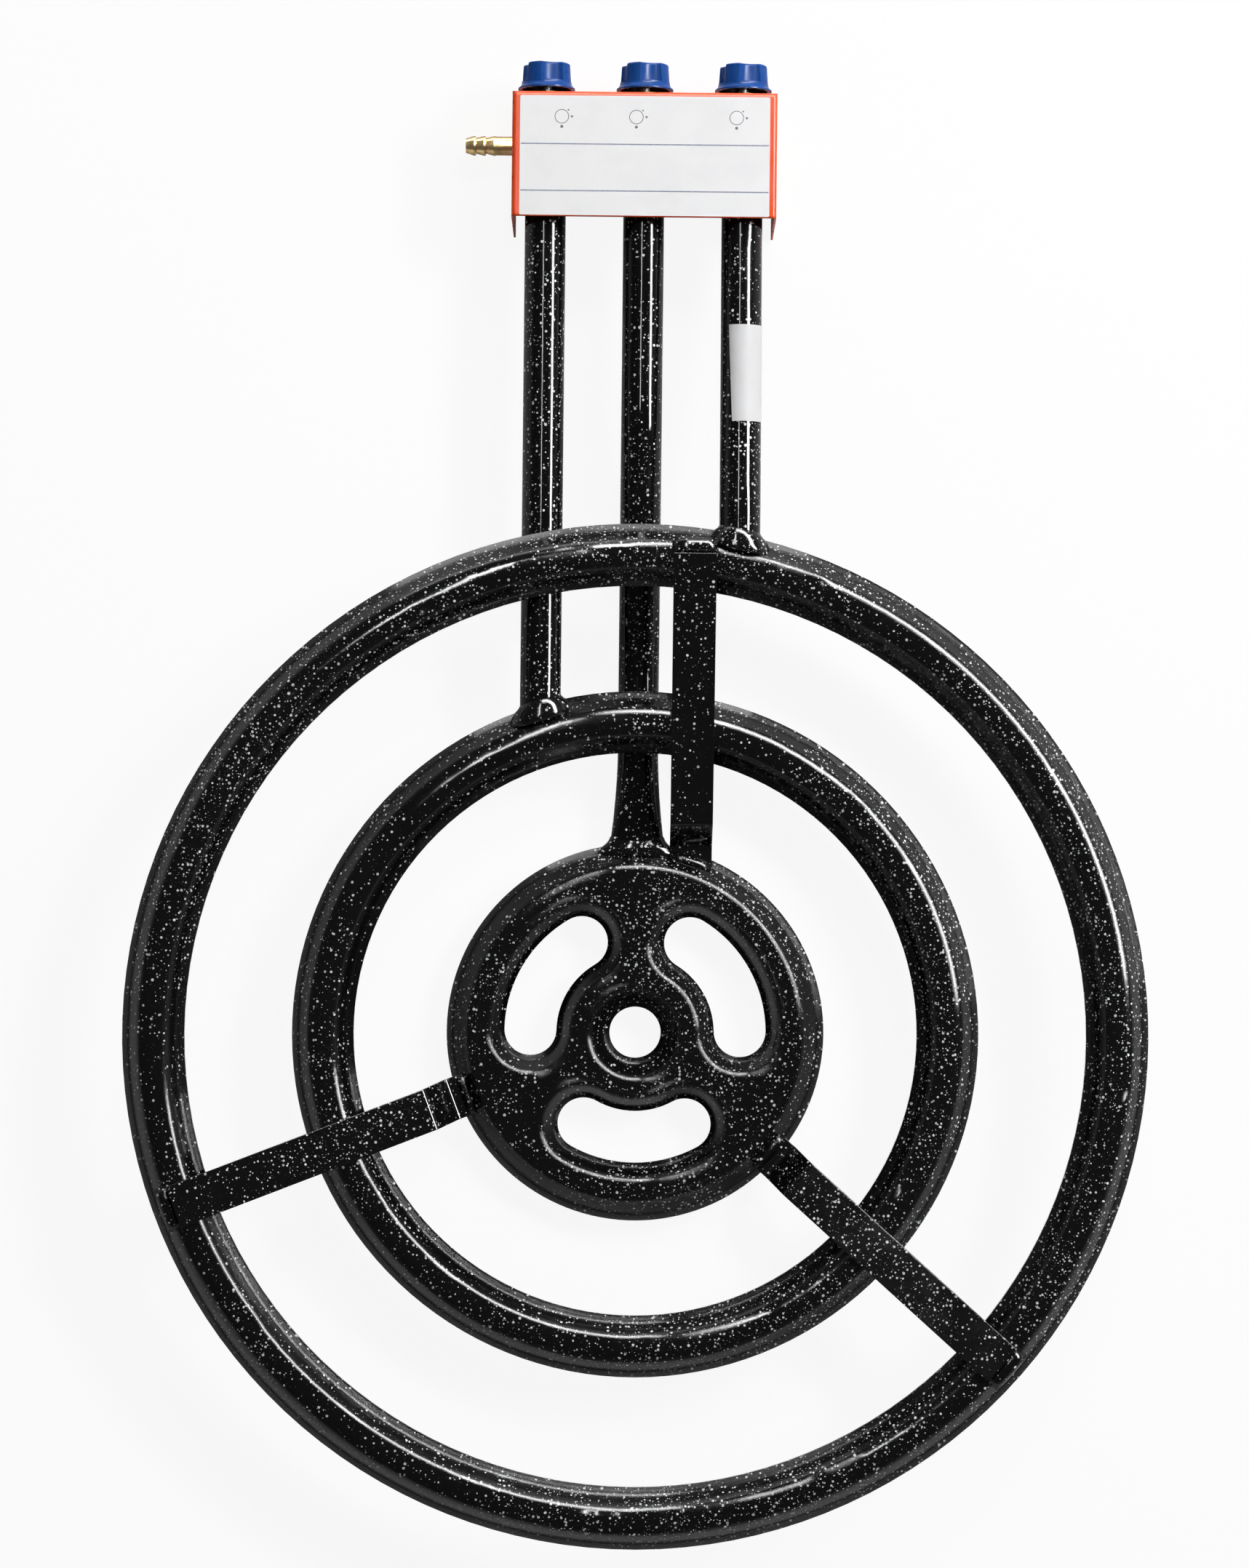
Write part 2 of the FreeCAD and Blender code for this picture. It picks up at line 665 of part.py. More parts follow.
def kidney_cut(body, low, low_half_width, high, high_half_width):
    """Three tapered kidney openings between two levels."""
    first = draw_kidney(new_sketch(body, "XY_Plane", low), low_half_width)
    second = draw_kidney(new_sketch(body, "XY_Plane", high), high_half_width)
    return repeat_round(loft_cut(first, second), D.kidney_count)


def disc_shell(name, height, facing):
    """Half of the disc: rim wall, flat crown, and drawn walls round the air openings."""
    gauge = D.sheet_gauge
    seam = DISC_SEAM
    rim_run = D.disc_wall_run if facing == UPPER else D.lower_wall_run
    hole_run = D.air_hole_wall_run if facing == UPPER else D.lower_wall_run
    kidney_run = D.kidney_wall_run if facing == UPPER else D.lower_wall_run
    rise = height - gauge
    crown = seam + height * facing
    half = D.kidney_width / 2
    lip_half = half + D.air_hole_lip
    slope = kidney_run / rise
    skin = disc_form(name + "_skin", 0, seam, height, rim_run, hole_run, facing, 0)
    kidney_cut(skin, seam + gauge * facing, lip_half,
               crown + D.overrun * facing, lip_half + kidney_run + D.overrun * slope)
    kidney_cut(skin, seam - D.overrun * facing, half, crown, half)
    fillet_edges(skin, D.press_radius, lambda edge: level_edge(edge, crown))
    steps = (bend_shift(rim_run, rise), bend_shift(hole_run, rise))
    cavity = disc_form(name + "_cavity", steps, seam, height, rim_run, hole_run, facing, gauge)
    step = bend_shift(kidney_run, rise)
    kidney_cut(cavity, seam - D.overrun * facing, lip_half + step - D.overrun * slope,
               crown + D.overrun * facing, lip_half + kidney_run + step
               + (D.overrun + gauge) * slope)
    return cut(name + "_sheet", skin, cavity)


def tube_flare(name, extra, insert):
    """Flattened end of the disc's feed tube, grown or shrunk all round by extra."""
    start = DISC_RADIUS + D.flare_length
    sections = []
    for index, (reach, width, height) in enumerate((
            (start, D.tube_diameter, D.tube_diameter),
            (DISC_RADIUS + D.flare_length / 2, D.flare_waist_width, D.flare_waist_height),
            (DISC_RADIUS, D.flare_width, D.flare_height))):
        oval = DOC.addObject("Part::Ellipse", f"{name}_section_{index}")
        bind(oval, "MajorRadius", width / 2 + extra)
        bind(oval, "MinorRadius", height / 2 + extra)
        place(oval, 0, reach, LOW_TUBE_LEVEL, X_AXIS, 90)
        sections.append(oval)
    loft = DOC.addObject("Part::Loft", name + "_loft")
    loft.Sections = sections
    loft.Solid = True
    end = DOC.addObject("Part::Extrusion", name + "_end")
    end.Base = sections[-1]
    end.DirMode = "Custom"
    end.Dir = FreeCAD.Vector(0, -1, 0)
    end.Solid = True
    bind(end, "LengthFwd", insert)
    return fuse(name, [loft, end])


def build_disc():
    """Upper and lower disc shells, notched for the flattened feed tube."""
    flare = tube_flare("disc_notch_flare", D.weld_gap, D.flare_insert + D.overrun)
    notch = cut("disc_notch", flare, disc_core("disc_core"))
    upper = disc_shell("disc_upper", D.upper_height, UPPER)
    label = "centre_disc_upper_shell"
    node(place(cut(label, upper, notch), 0, RING_CENTRE, 0), label)
    lower = disc_shell("disc_lower", D.disc_depth, LOWER)
    label = "centre_disc_lower_shell"
    body = new_body(label)
    body.BaseFeature = cut("disc_lower_notched", lower, notch)
    reach = D.seam_lip + D.lower_wall_run + D.sheet_gauge
    cut_ports(body, DISC_SEAM, D.disc_port_count, [(DISC_RADIUS - reach, DISC_RADIUS)],
              D.disc_depth)
    node(place(body, 0, RING_CENTRE, 0), label)


# Feed tubes

def bend(corner_y, corner_z, run, drop):
    """Tangent points of a bend between a level run and one that changes height by drop."""
    slope = root_of(run * run + drop * drop)
    reach = D.tube_bend_radius * (slope - run) / drop
    return reach, reach * run / slope, reach * drop / slope


def tube_rod(name, radius, corners, arcs):
    """Solid rod of one radius along a bent line in the YZ plane."""
    body = new_body(name)
    profile = new_sketch(body, "XZ_Plane", -TUBE_MOUTH)
    draw_circle(profile, 0, D.tube_level, radius)
    spine = draw(new_sketch(body, "YZ_Plane"), corners, arcs, closed=False)
    feature = body.newObject("PartDesign::AdditivePipe", name + "_pipe")
    feature.Profile = profile
    feature.Spine = (spine, [])
    return body


def bent_line(first_y, second_y, end_y, end_level):
    """Level run, slope to another level and level run, with round bends."""
    run = first_y - second_y
    drop = end_level - D.tube_level
    size = drop if number(drop) > 0 else -drop
    reach, along, rise = bend(first_y, D.tube_level, run, size)
    turn = 1 if number(drop) < 0 else -1
    up = rise if number(drop) > 0 else -rise
    corners = [
        (TUBE_MOUTH, D.tube_level),
        (first_y + reach, D.tube_level),
        (first_y - along, D.tube_level + up),
        (second_y + along, end_level - up),
        (second_y - reach, end_level),
        (end_y, end_level),
    ]
    return corners, {1: (D.tube_bend_radius, turn), 3: (D.tube_bend_radius, -turn)}


def build_tube(label, x, corners, arcs, core, extra_shapes=(None, None)):
    """Hollow tube that ends in the wall of what it feeds."""
    rods = []
    for part, size, extra in (("outside", TUBE_RADIUS, extra_shapes[0]),
                              ("bore", TUBE_RADIUS - D.tube_gauge, extra_shapes[1])):
        rod = tube_rod(f"{label}_{part}", size, corners, arcs)
        place(rod, x, 0, 0)
        rods.append(fuse(f"{label}_{part}_whole", [rod, extra]) if extra else rod)
    hollow = cut(label + "_hollow", rods[0], rods[1])
    node(place(cut(label, hollow, core), 0, RING_CENTRE, 0), label)


def build_tubes():
    outer_entry = root_of(OUTER_RADIUS * OUTER_RADIUS - D.tube_spacing * D.tube_spacing)
    outer_end = outer_entry - D.ring_width / 2
    corners, arcs = bent_line(D.outer_bend_reach, outer_entry + D.outer_level_run,
                              outer_end, OUTER_SEAM + D.joint_rise)
    build_tube("feed_tube_outer", D.tube_spacing, corners, arcs,
               ring_core("outer_tube_core", OUTER_RADIUS, OUTER_SEAM, D.weld_gap))
    middle_entry = root_of(MIDDLE_RADIUS * MIDDLE_RADIUS - D.tube_spacing * D.tube_spacing)
    straight = [(TUBE_MOUTH, D.tube_level), (middle_entry - D.ring_width / 2, D.tube_level)]
    build_tube("feed_tube_middle", -D.tube_spacing, straight, {},
               ring_core("middle_tube_core", MIDDLE_RADIUS, MIDDLE_SEAM, D.weld_gap))
    flare_start = DISC_RADIUS + D.flare_length
    corners, arcs = bent_line(D.centre_bend_reach, MIDDLE_RADIUS + D.centre_level_lead,
                              flare_start, LOW_TUBE_LEVEL)
    flares = (tube_flare("flare_outside", ZERO, D.flare_insert + D.overrun),
              tube_flare("flare_bore", -D.tube_gauge, D.flare_insert + D.overrun * 2))
    build_tube("feed_tube_centre", ZERO, corners, arcs,
               disc_core("centre_tube_core", D.weld_gap), flares)


# Support straps

def build_strap(label, offset, angle):
    """Flat bar over both rings with a joggle down to the lip of the disc."""
    half_width = D.ring_width / 2
    half_crown = half_width - D.seam_lip - D.upper_wall_run
    crown = (half_crown * half_crown / D.crown_bulge + D.crown_bulge) / 2

    edge = offset + D.strap_width / 2

    def station(radius, aside=offset):
        return root_of(radius * radius - aside * aside)

    far = station(OUTER_RADIUS - half_width, edge)
    close = station(MIDDLE_RADIUS - half_width, edge)
    far_centre = OUTER_SEAM + D.upper_height - crown
    slope = (OUTER_SEAM - MIDDLE_SEAM) / (far - close)
    stretch = root_of(slope * slope + 1)
    gauge = D.strap_gauge

    def underside(y):
        return far_centre + (crown + D.weld_gap) * stretch + slope * (y - far)

    end = far + D.strap_overhang
    knee = station(DISC_RADIUS + D.strap_joggle_far)
    toe = station(DISC_RADIUS + D.strap_joggle_near)
    tip = station(DISC_RADIUS - D.seam_lip) - D.seam_lip
    seat = DISC_SEAM + D.sheet_gauge + D.weld_gap
    steep = (underside(knee) - seat) / (knee - toe)
    steep_lift = gauge * root_of(steep * steep + 1)
    lift = gauge * stretch
    knee_step = (lift - steep_lift) / (steep - slope)
    toe_step = (steep_lift - gauge) / (0 - steep)
    corners = [
        (end, underside(end)),
        (end, underside(end) + lift),
        (knee + knee_step, underside(knee) + lift + slope * knee_step),
        (toe + toe_step, seat + gauge),
        (tip, seat + gauge),
        (tip, seat),
        (toe, seat),
        (knee, underside(knee)),
    ]
    body = new_body(label + "_bar")
    sketch = draw(new_sketch(body, "YZ_Plane", offset), corners)
    pad(sketch, D.strap_width, both_ways=True)
    bends = [corners[2], corners[3], corners[6], corners[7]]

    def is_bend(edge):
        box = edge.BoundBox
        return near(box.YMin, box.YMax) and any(
            near(box.YMin, number(y)) and near(box.ZMin, number(z)) for y, z in bends)

    fillet_edges(body, D.strap_bend_radius, is_bend)
    core = cylinder(label + "_core", DISC_RADIUS - D.seam_lip + D.weld_gap, D.box_height)
    turned = cut(label, body, core)
    node(place(turned, 0, RING_CENTRE, 0, Z_AXIS, angle), label)


# Control box

def draw_side(body, front, back, foot_back, low, high):
    corners = [(front, low), (front, high), (back, high), (foot_back, low)]
    return draw(new_sketch(body, "YZ_Plane"), corners)


def build_cover():
    """Folded sheet box, open below and behind."""
    gauge = D.box_gauge
    half = D.box_width / 2
    outside = new_body("cover_outside")
    pad(draw_side(outside, 0, -D.box_depth, -(D.box_depth + D.box_ear), 0, D.box_height),
        D.box_width, both_ways=True)

    def top_bend(edge, half_width, height):
        """True for the side edges and the front edge of the top."""
        box = edge.BoundBox
        side = near(abs(edge.CenterOfMass.x), number(half_width))
        front = near(box.YMin, box.YMax) and box.YMax > -number(D.box_notch)
        return level_edge(edge, height) and (side or front)

    fillet_edges(outside, D.box_bend_radius, lambda edge: top_bend(edge, half, D.box_height))
    inside = new_body("cover_inside")
    pad(draw_side(inside, -gauge, -(D.box_depth + D.box_ear + D.overrun),
                  -(D.box_depth + D.box_ear + D.overrun), -D.overrun, D.box_height - gauge),
        D.box_width - gauge * 2, both_ways=True)
    fillet_edges(inside, D.box_bend_radius - gauge,
                 lambda edge: top_bend(edge, half - gauge, D.box_height - gauge))
    tools = [inside]
    for side in (-1, 1):
        notch = block(f"cover_notch_{side + 1}", D.box_notch, D.box_notch, D.box_notch)
        low_x = half * side - D.box_notch / 2
        place(notch, low_x, -(D.box_notch / 2), D.box_height - D.box_notch / 2)
        tools.append(notch)
    for index, x in enumerate(TAP_PLACES, start=1):
        hole = cylinder(f"cover_hole_{index}", D.nose_diameter / 2 + D.face_gap, D.overrun * 2)
        tools.append(place(hole, x, -D.overrun, D.tube_level, X_AXIS, -90))
    inlet = cylinder("cover_inlet_hole", D.barb_crest_diameter / 2 + D.face_gap, D.overrun * 2)
    tools.append(place(inlet, -(half + D.overrun / 2), -D.manifold_setback, MANIFOLD_LEVEL,
                       Y_AXIS, 90))
    cover = cut("control_box_cover", outside, fuse("cover_cuts", tools))
    node(place(cover, 0, BOX_FRONT, 0), "control_box_cover")


def build_bracket():
    """Plate with three tube holes and a tab at each side, spot-welded to the cover."""
    half = D.bracket_height / 2
    body = new_body("tube_bracket")
    sketch = new_sketch(body, "XZ_Plane", D.bracket_setback)
    draw_rectangle(sketch, -SIDE_GAP, D.tube_level - half, SIDE_GAP, D.tube_level + half)
    for x in TAP_PLACES:
        draw_circle(sketch, x, D.tube_level, TUBE_RADIUS + D.weld_gap)
    pad(sketch, D.bracket_gauge)
    tabs = new_sketch(body, "XZ_Plane", D.bracket_setback)
    for inner, outer in ((-SIDE_GAP, -(SIDE_GAP - D.bracket_gauge)),
                         (SIDE_GAP - D.bracket_gauge, SIDE_GAP)):
        draw_rectangle(tabs, inner, D.tube_level - half, outer, D.tube_level + half)
    pad(tabs, D.bracket_tab, backwards=True)
    node(place(body, 0, BOX_FRONT, 0), "tube_bracket")


# Screws

def screw_group(name, places, diameter, length, head_diameter, head_height):
    """Pan-head screws along +Z with their heads on the XY plane at the given places."""
    body = new_body(name)
    heads = new_sketch(body, "XY_Plane")
    shanks = new_sketch(body, "XY_Plane")
    for x, y in places:
        draw_circle(heads, x, y, head_diameter / 2)
        draw_circle(shanks, x, y, diameter / 2)
    pad(heads, head_height)
    pad(shanks, length, backwards=True)
    return body


def build_screws():
    half = D.foot_screw_spread / 2
    feet = [(x + half * side, -D.manifold_setback) for x in TAP_PLACES for side in (-1, 1)]
    foot_screws = screw_group("tap_foot_screws", feet, D.foot_screw_diameter,
                              D.foot_height + D.gasket_gauge + D.foot_screw_bite,
                              D.foot_screw_head, D.foot_screw_head_height)
    level = D.tube_level - BARREL_BOTTOM + D.foot_height + D.weld_gap
    node(place(foot_screws, 0, BOX_FRONT, level), "tap_foot_screws")
    half = D.bonnet_screw_spread / 2
    fronts = [(x + half * side, -D.tube_level) for x in TAP_PLACES for side in (-1, 1)]
    seat = BONNET_FRONT - D.small_screw_sink
    small = screw_group("bonnet_screws", fronts, D.small_screw_diameter,
                        seat - BARREL_FRONT + D.small_screw_bite,
                        D.small_screw_head, D.small_screw_sink - D.weld_gap)
    node(place(small, 0, BOX_FRONT + seat, 0, X_AXIS, -90), "bonnet_screws")


# Gas bar, hose barb and end plug

def build_manifold():
    """Square bar with a long bore, screwed ends, and a passage and two screws per tap."""
    half = D.manifold_size / 2
    body = new_body("gas_manifold")
    profile = new_sketch(body, "YZ_Plane")
    draw_rectangle(profile, -half, -half, half, half)
    draw_circle(profile, 0, 0, D.manifold_bore / 2)
    pad(profile, D.manifold_length, both_ways=True)
    for side in (-1, 1):
        end = new_sketch(body, "YZ_Plane", D.manifold_length / 2 * side)
        draw_circle(end, 0, 0, D.manifold_thread / 2)
        pocket(end, D.thread_length + D.overrun, backwards=side < 0)
    passages = new_sketch(body, "XY_Plane", half)
    screw_holes = new_sketch(body, "XY_Plane", half)
    for x in TAP_PLACES:
        draw_circle(passages, x, 0, D.gas_passage / 2)
        for side in (-1, 1):
            draw_circle(screw_holes, x + D.foot_screw_spread / 2 * side, 0,
                        D.foot_screw_diameter / 2 + D.weld_gap)
    pocket(passages, half)
    pocket(screw_holes, D.foot_screw_bite + D.weld_gap * 2)
    node(place(body, 0, BOX_FRONT - D.manifold_setback, MANIFOLD_LEVEL), "gas_manifold")


def hexagon_with_bore(body, low, length, across_flats, bore):
    sketch = new_sketch(body, "XY_Plane", low)
    draw_hexagon(sketch, across_flats)
    if bore is not None:
        draw_circle(sketch, 0, 0, bore)
    return pad(sketch, length)


def build_hose_barb():
    """Barbed nipple: crests, shank through the box wall, hexagon and screwed end."""
    crest = D.barb_crest_diameter / 2
    root = D.barb_root_diameter / 2
    shank = D.barb_shank_diameter / 2
    bore = D.barb_bore / 2
    thread = D.manifold_thread / 2 - D.running_fit
    hexagon_front = D.manifold_length / 2 + D.weld_gap + D.barb_hex_length
    tip = D.box_width / 2 + D.barb_reach
    corners = [(bore, tip), (D.barb_tip_diameter / 2, tip)]
    for crests in range(1, int(number(D.barb_count)) + 1):
        step = tip - D.barb_pitch * crests
        last = crests == number(D.barb_count)
        corners += [(crest, step + D.barb_land), (crest, step), (shank if last else root, step)]
    corners += [
        (shank, hexagon_front - D.weld_gap),
        (thread, hexagon_front - D.weld_gap),
        (thread, D.manifold_length / 2 - D.thread_length),
        (bore, D.manifold_length / 2 - D.thread_length),
    ]
    body = new_body("hose_barb")
    revolve(draw(new_sketch(body, "XZ_Plane"), corners))
    hexagon_with_bore(body, D.manifold_length / 2 + D.weld_gap, D.barb_hex_length,
                      D.barb_hex, bore)
    node(place(body, 0, BOX_FRONT - D.manifold_setback, MANIFOLD_LEVEL, Y_AXIS, -90), "hose_barb")


def build_end_plug():
    thread = D.manifold_thread / 2 - D.running_fit
    body = new_body("manifold_end_plug")
    sketch = draw_circle(new_sketch(body, "XY_Plane", D.manifold_length / 2 + D.weld_gap),
                         0, 0, thread)
    pad(sketch, D.thread_length, backwards=True)
    hexagon_with_bore(body, D.manifold_length / 2 + D.weld_gap, D.barb_hex_length,
                      D.barb_hex, None)
    node(place(body, 0, BOX_FRONT - D.manifold_setback, MANIFOLD_LEVEL, Y_AXIS, 90),
         "manifold_end_plug")


# Taps: lengths run along each tap's own Z axis, forward from the front of the box

BONNET_FRONT = -(D.box_gauge + D.weld_gap)
BONNET_BACK = BONNET_FRONT - D.bonnet_gauge
BARREL_FRONT = BONNET_BACK - D.weld_gap
CHAMBER_BACK = BARREL_FRONT - D.chamber_depth
BARREL_BACK = BARREL_FRONT - D.barrel_length
OUTLET_BACK = BARREL_BACK - D.outlet_length
CONE_FRONT = CHAMBER_BACK + D.weld_gap
CONE_BACK = CONE_FRONT - D.cone_length
COLLAR_FRONT = BONNET_BACK - D.face_gap
COLLAR_BACK = COLLAR_FRONT - D.collar_gauge
INJECTOR_FRONT = OUTLET_BACK + D.thread_length - D.injector_end_gap


def at_tap(item, x):
    """Stand a piece on the axis of the tap at x, its own Z axis forward."""
    return place(item, x, BOX_FRONT, D.tube_level, X_AXIS, -90)


def build_tap_body(index, x):
    """Barrel with spring chamber, tapered seat and outlet, on a foot over the gas bar."""
    chamber = D.chamber_diameter / 2
    barrel = D.barrel_diameter / 2
    outlet = D.outlet_diameter / 2
    passage = D.gas_passage / 2
    seat_front = D.cone_front_diameter / 2 + D.running_fit
    seat_back = D.cone_rear_diameter / 2 + D.running_fit
    seat_end = CONE_BACK - D.face_gap
    narrowing = (seat_front - seat_back) / D.cone_length
    thread = D.injector_thread / 2 + D.running_fit
    thread_end = INJECTOR_FRONT + D.face_gap
    body = new_body(f"tap_body_{index}")
    revolve(draw(new_sketch(body, "XZ_Plane"), [
        (0, BARREL_FRONT), (barrel, BARREL_FRONT), (barrel, BARREL_BACK),
        (outlet, BARREL_BACK), (outlet, OUTLET_BACK), (0, OUTLET_BACK),
    ]))
    ears = new_sketch(body, "XY_Plane", BARREL_FRONT)
    draw_rectangle(ears, -(D.bonnet_width / 2), -(D.ear_height / 2),
                   D.bonnet_width / 2, D.ear_height / 2)
    pad(ears, D.ear_gauge, backwards=True)
    low = -D.manifold_setback - D.manifold_size / 2
    high = -D.manifold_setback + D.manifold_size / 2
    for width, height in ((D.neck_width, BARREL_BOTTOM), (D.foot_width, D.foot_height)):
        block_sketch = new_sketch(body, "XZ_Plane", -BARREL_BOTTOM)
        draw_rectangle(block_sketch, -(width / 2), low, width / 2, high)
        pad(block_sketch, height)
    groove(draw(new_sketch(body, "XZ_Plane"), [
        (0, BARREL_FRONT + D.overrun), (chamber, BARREL_FRONT + D.overrun),
        (chamber, CHAMBER_BACK), (seat_front, CHAMBER_BACK),
        (seat_back - narrowing * D.face_gap, seat_end), (passage, seat_end),
        (passage, thread_end), (thread, thread_end), (thread, OUTLET_BACK - D.overrun),
        (0, OUTLET_BACK - D.overrun),
    ]))
    drill = new_sketch(body, "XZ_Plane", -BARREL_BOTTOM)
    draw_circle(drill, 0, -D.manifold_setback, passage)
    pocket(drill, BARREL_BOTTOM, backwards=True)
    holes = new_sketch(body, "XZ_Plane", -BARREL_BOTTOM)
    screw_holes = new_sketch(body, "XY_Plane", BARREL_FRONT)
    for side in (-1, 1):
        draw_circle(holes, D.foot_screw_spread / 2 * side, -D.manifold_setback,
                    D.foot_screw_diameter / 2 + D.weld_gap)
        draw_circle(screw_holes, D.bonnet_screw_spread / 2 * side, 0,
                    D.small_screw_diameter / 2 + D.weld_gap)
    pocket(holes, D.foot_height, backwards=True)
    pocket(screw_holes, D.small_screw_bite + D.weld_gap)
    node(at_tap(body, x), f"tap_body_{index}")


def build_bonnet(index, x):
    """Front cap with a screwed nose, spindle bore and a stop recess for the pin."""
    label = f"tap_bonnet_{index}"
    half = D.bonnet_width / 2
    rise = D.bonnet_height / 2
    corner = rise / 2
    body = new_body(label + "_form")
    flange = new_sketch(body, "XY_Plane", BONNET_BACK)
    draw(flange, [(half, -corner), (half, corner), (corner, rise), (-corner, rise),
                  (-half, corner), (-half, -corner), (-corner, -rise), (corner, -rise)])
    for side in (-1, 1):
        draw_circle(flange, D.bonnet_screw_spread / 2 * side, 0,
                    D.small_screw_diameter / 2 + D.weld_gap)
    pad(flange, D.bonnet_gauge)
    sinks = new_sketch(body, "XY_Plane", BONNET_FRONT)
    for side in (-1, 1):
        draw_circle(sinks, D.bonnet_screw_spread / 2 * side, 0,
                    D.small_screw_head / 2 + D.weld_gap)
    pocket(sinks, D.small_screw_sink)
    nose = draw_circle(new_sketch(body, "XY_Plane", BONNET_FRONT), 0, 0, D.nose_diameter / 2)
    pad(nose, D.nose_reach - BONNET_FRONT)
    bore = cylinder(label + "_bore", D.spindle_diameter / 2 + D.running_fit,
                    D.bonnet_gauge * 2 + D.nose_reach + D.overrun * 2)
    place(bore, 0, 0, BONNET_BACK - D.overrun)
    recess = cylinder(label + "_recess", D.pin_reach + D.face_gap, D.stop_depth + D.overrun)
    bind(recess, "Angle", D.turn_range + D.stop_margin * 2)
    place(recess, 0, 0, BONNET_BACK - D.overrun, Z_AXIS, -D.stop_margin)
    node(at_tap(cut(label, body, fuse(label + "_cuts", [bore, recess])), x), label)


def build_nut(index, x):
    body = new_body(f"panel_nut_{index}")
    hexagon_with_bore(body, D.weld_gap, D.nut_gauge, D.nut_size,
                      D.nose_diameter / 2 + D.weld_gap / 2)
    node(at_tap(body, x), f"panel_nut_{index}")


def build_cone(index, x):
    """Tapered plug with a driving slot, an axial bore and a side port."""
    label = f"tap_cone_{index}"
    corners = [
        (0, CONE_FRONT), (D.cone_front_diameter / 2, CONE_FRONT),
        (D.cone_rear_diameter / 2, CONE_BACK), (0, CONE_BACK),
    ]
    body = new_body(label + "_form")
    revolve(draw(new_sketch(body, "XZ_Plane"), corners))
    slot = new_sketch(body, "XY_Plane", CONE_FRONT)
    across = D.tang_width / 2 + D.weld_gap * 2
    thick = D.tang_gauge / 2 + D.weld_gap
    draw_rectangle(slot, -across, -thick, across, thick)
    pocket(slot, D.slot_depth)
    axial = cylinder(label + "_axial", D.gas_passage / 2,
                     -D.manifold_setback - CONE_BACK + D.overrun)
    place(axial, 0, 0, CONE_BACK - D.overrun)
    port = cylinder(label + "_port", D.gas_passage / 2, D.cone_front_diameter)
    place(port, 0, 0, -D.manifold_setback, Y_AXIS, 90)
    node(at_tap(cut(label, body, fuse(label + "_ports", [axial, port])), x), label)


def build_spindle(index, x):
    """Spindle with a driving flat for the knob, a collar, a stop pin and a tang."""
    label = f"tap_spindle_{index}"
    radius = D.spindle_diameter / 2
    front = D.knob_gap + D.spindle_insert
    body = new_body(label + "_form")
    corners = [
        (0, front), (radius, front), (radius, COLLAR_FRONT),
        (D.collar_diameter / 2, COLLAR_FRONT), (D.collar_diameter / 2, COLLAR_BACK),
        (0, COLLAR_BACK),
    ]
    revolve(draw(new_sketch(body, "XZ_Plane"), corners))
    tang = new_sketch(body, "XY_Plane", COLLAR_BACK)
    draw_rectangle(tang, -(D.tang_width / 2), -(D.tang_gauge / 2),
                   D.tang_width / 2, D.tang_gauge / 2)
    pad(tang, D.tang_reach, backwards=True)
    flat = new_sketch(body, "XY_Plane", front)
    draw_rectangle(flat, -D.spindle_diameter, radius - D.spindle_flat,
                   D.spindle_diameter, D.spindle_diameter)
    pocket(flat, D.spindle_insert)
    pin = cylinder(label + "_pin", D.pin_diameter / 2, D.pin_reach)
    place(pin, 0, 0, BONNET_BACK + D.pin_diameter / 2, Y_AXIS, 90)
    node(at_tap(fuse(label, [body, pin]), x), label)


def build_spring(index, x):
    """Coil between the cone and the spindle's collar, swept along a helix in short arcs."""
    label = f"tap_spring_{index}"
    wire = number(D.spring_wire) / 2
    low = number(CONE_FRONT) + wire + number(D.weld_gap)
    high = number(COLLAR_BACK) - wire - number(D.face_gap)
    radius = number(D.spring_diameter) / 2
    helix = Part.makeHelix((high - low) / number(D.spring_turns), high - low, radius)
    helix.translate(FreeCAD.Vector(0, 0, low))
    count = int(number(D.spring_turns * D.spring_arcs))
    line = Part.BSplineCurve()
    line.interpolate(helix.Edges[0].discretize(count + 1))
    step = (line.LastParameter - line.FirstParameter) / count
    ends = [line.FirstParameter + step * index for index in range(count + 1)]
    arcs = [line.toShape(first, last) for first, last in zip(ends, ends[1:])]
    section = Part.Wire(Part.makeCircle(wire, FreeCAD.Vector(radius, 0, low), Y_AXIS))
    coil = DOC.addObject("Part::Feature", label)
    coil.Shape = Part.Wire(arcs).makePipeShell([section], True, True)
    node(at_tap(coil, x), label)


def build_injector(index, x):
    """Brass jet: screwed end, hexagon and tapered nose with a small orifice."""
    label = f"injector_{index}"
    thread = D.injector_thread / 2
    bore = D.gas_passage / 2
    orifice = D.injector_orifice / 2
    hexagon = OUTLET_BACK - D.weld_gap
    shoulder = hexagon - D.injector_hex_length
    tip = shoulder - D.injector_tip_length
    corners = [
        (bore, INJECTOR_FRONT), (thread, INJECTOR_FRONT), (thread, shoulder),
        (D.injector_tip_diameter / 2, tip), (orifice, tip), (orifice, tip + D.overrun),
        (bore, tip + D.overrun),
    ]
    body = new_body(label)
    revolve(draw(new_sketch(body, "XZ_Plane"), corners))
    hexagon_with_bore(body, shoulder, D.injector_hex_length, D.injector_hex, bore)
    node(at_tap(body, x), label)


def build_gasket(index, x):
    body = new_body(f"tap_gasket_{index}")
    sketch = draw_circle(new_sketch(body, "XY_Plane"), 0, 0, D.gasket_diameter / 2)
    draw_circle(sketch, 0, 0, D.gas_passage / 2)
    pad(sketch, D.gasket_gauge)
    level = MANIFOLD_LEVEL + D.manifold_size / 2
    node(place(body, x, BOX_FRONT - D.manifold_setback, level), f"tap_gasket_{index}")


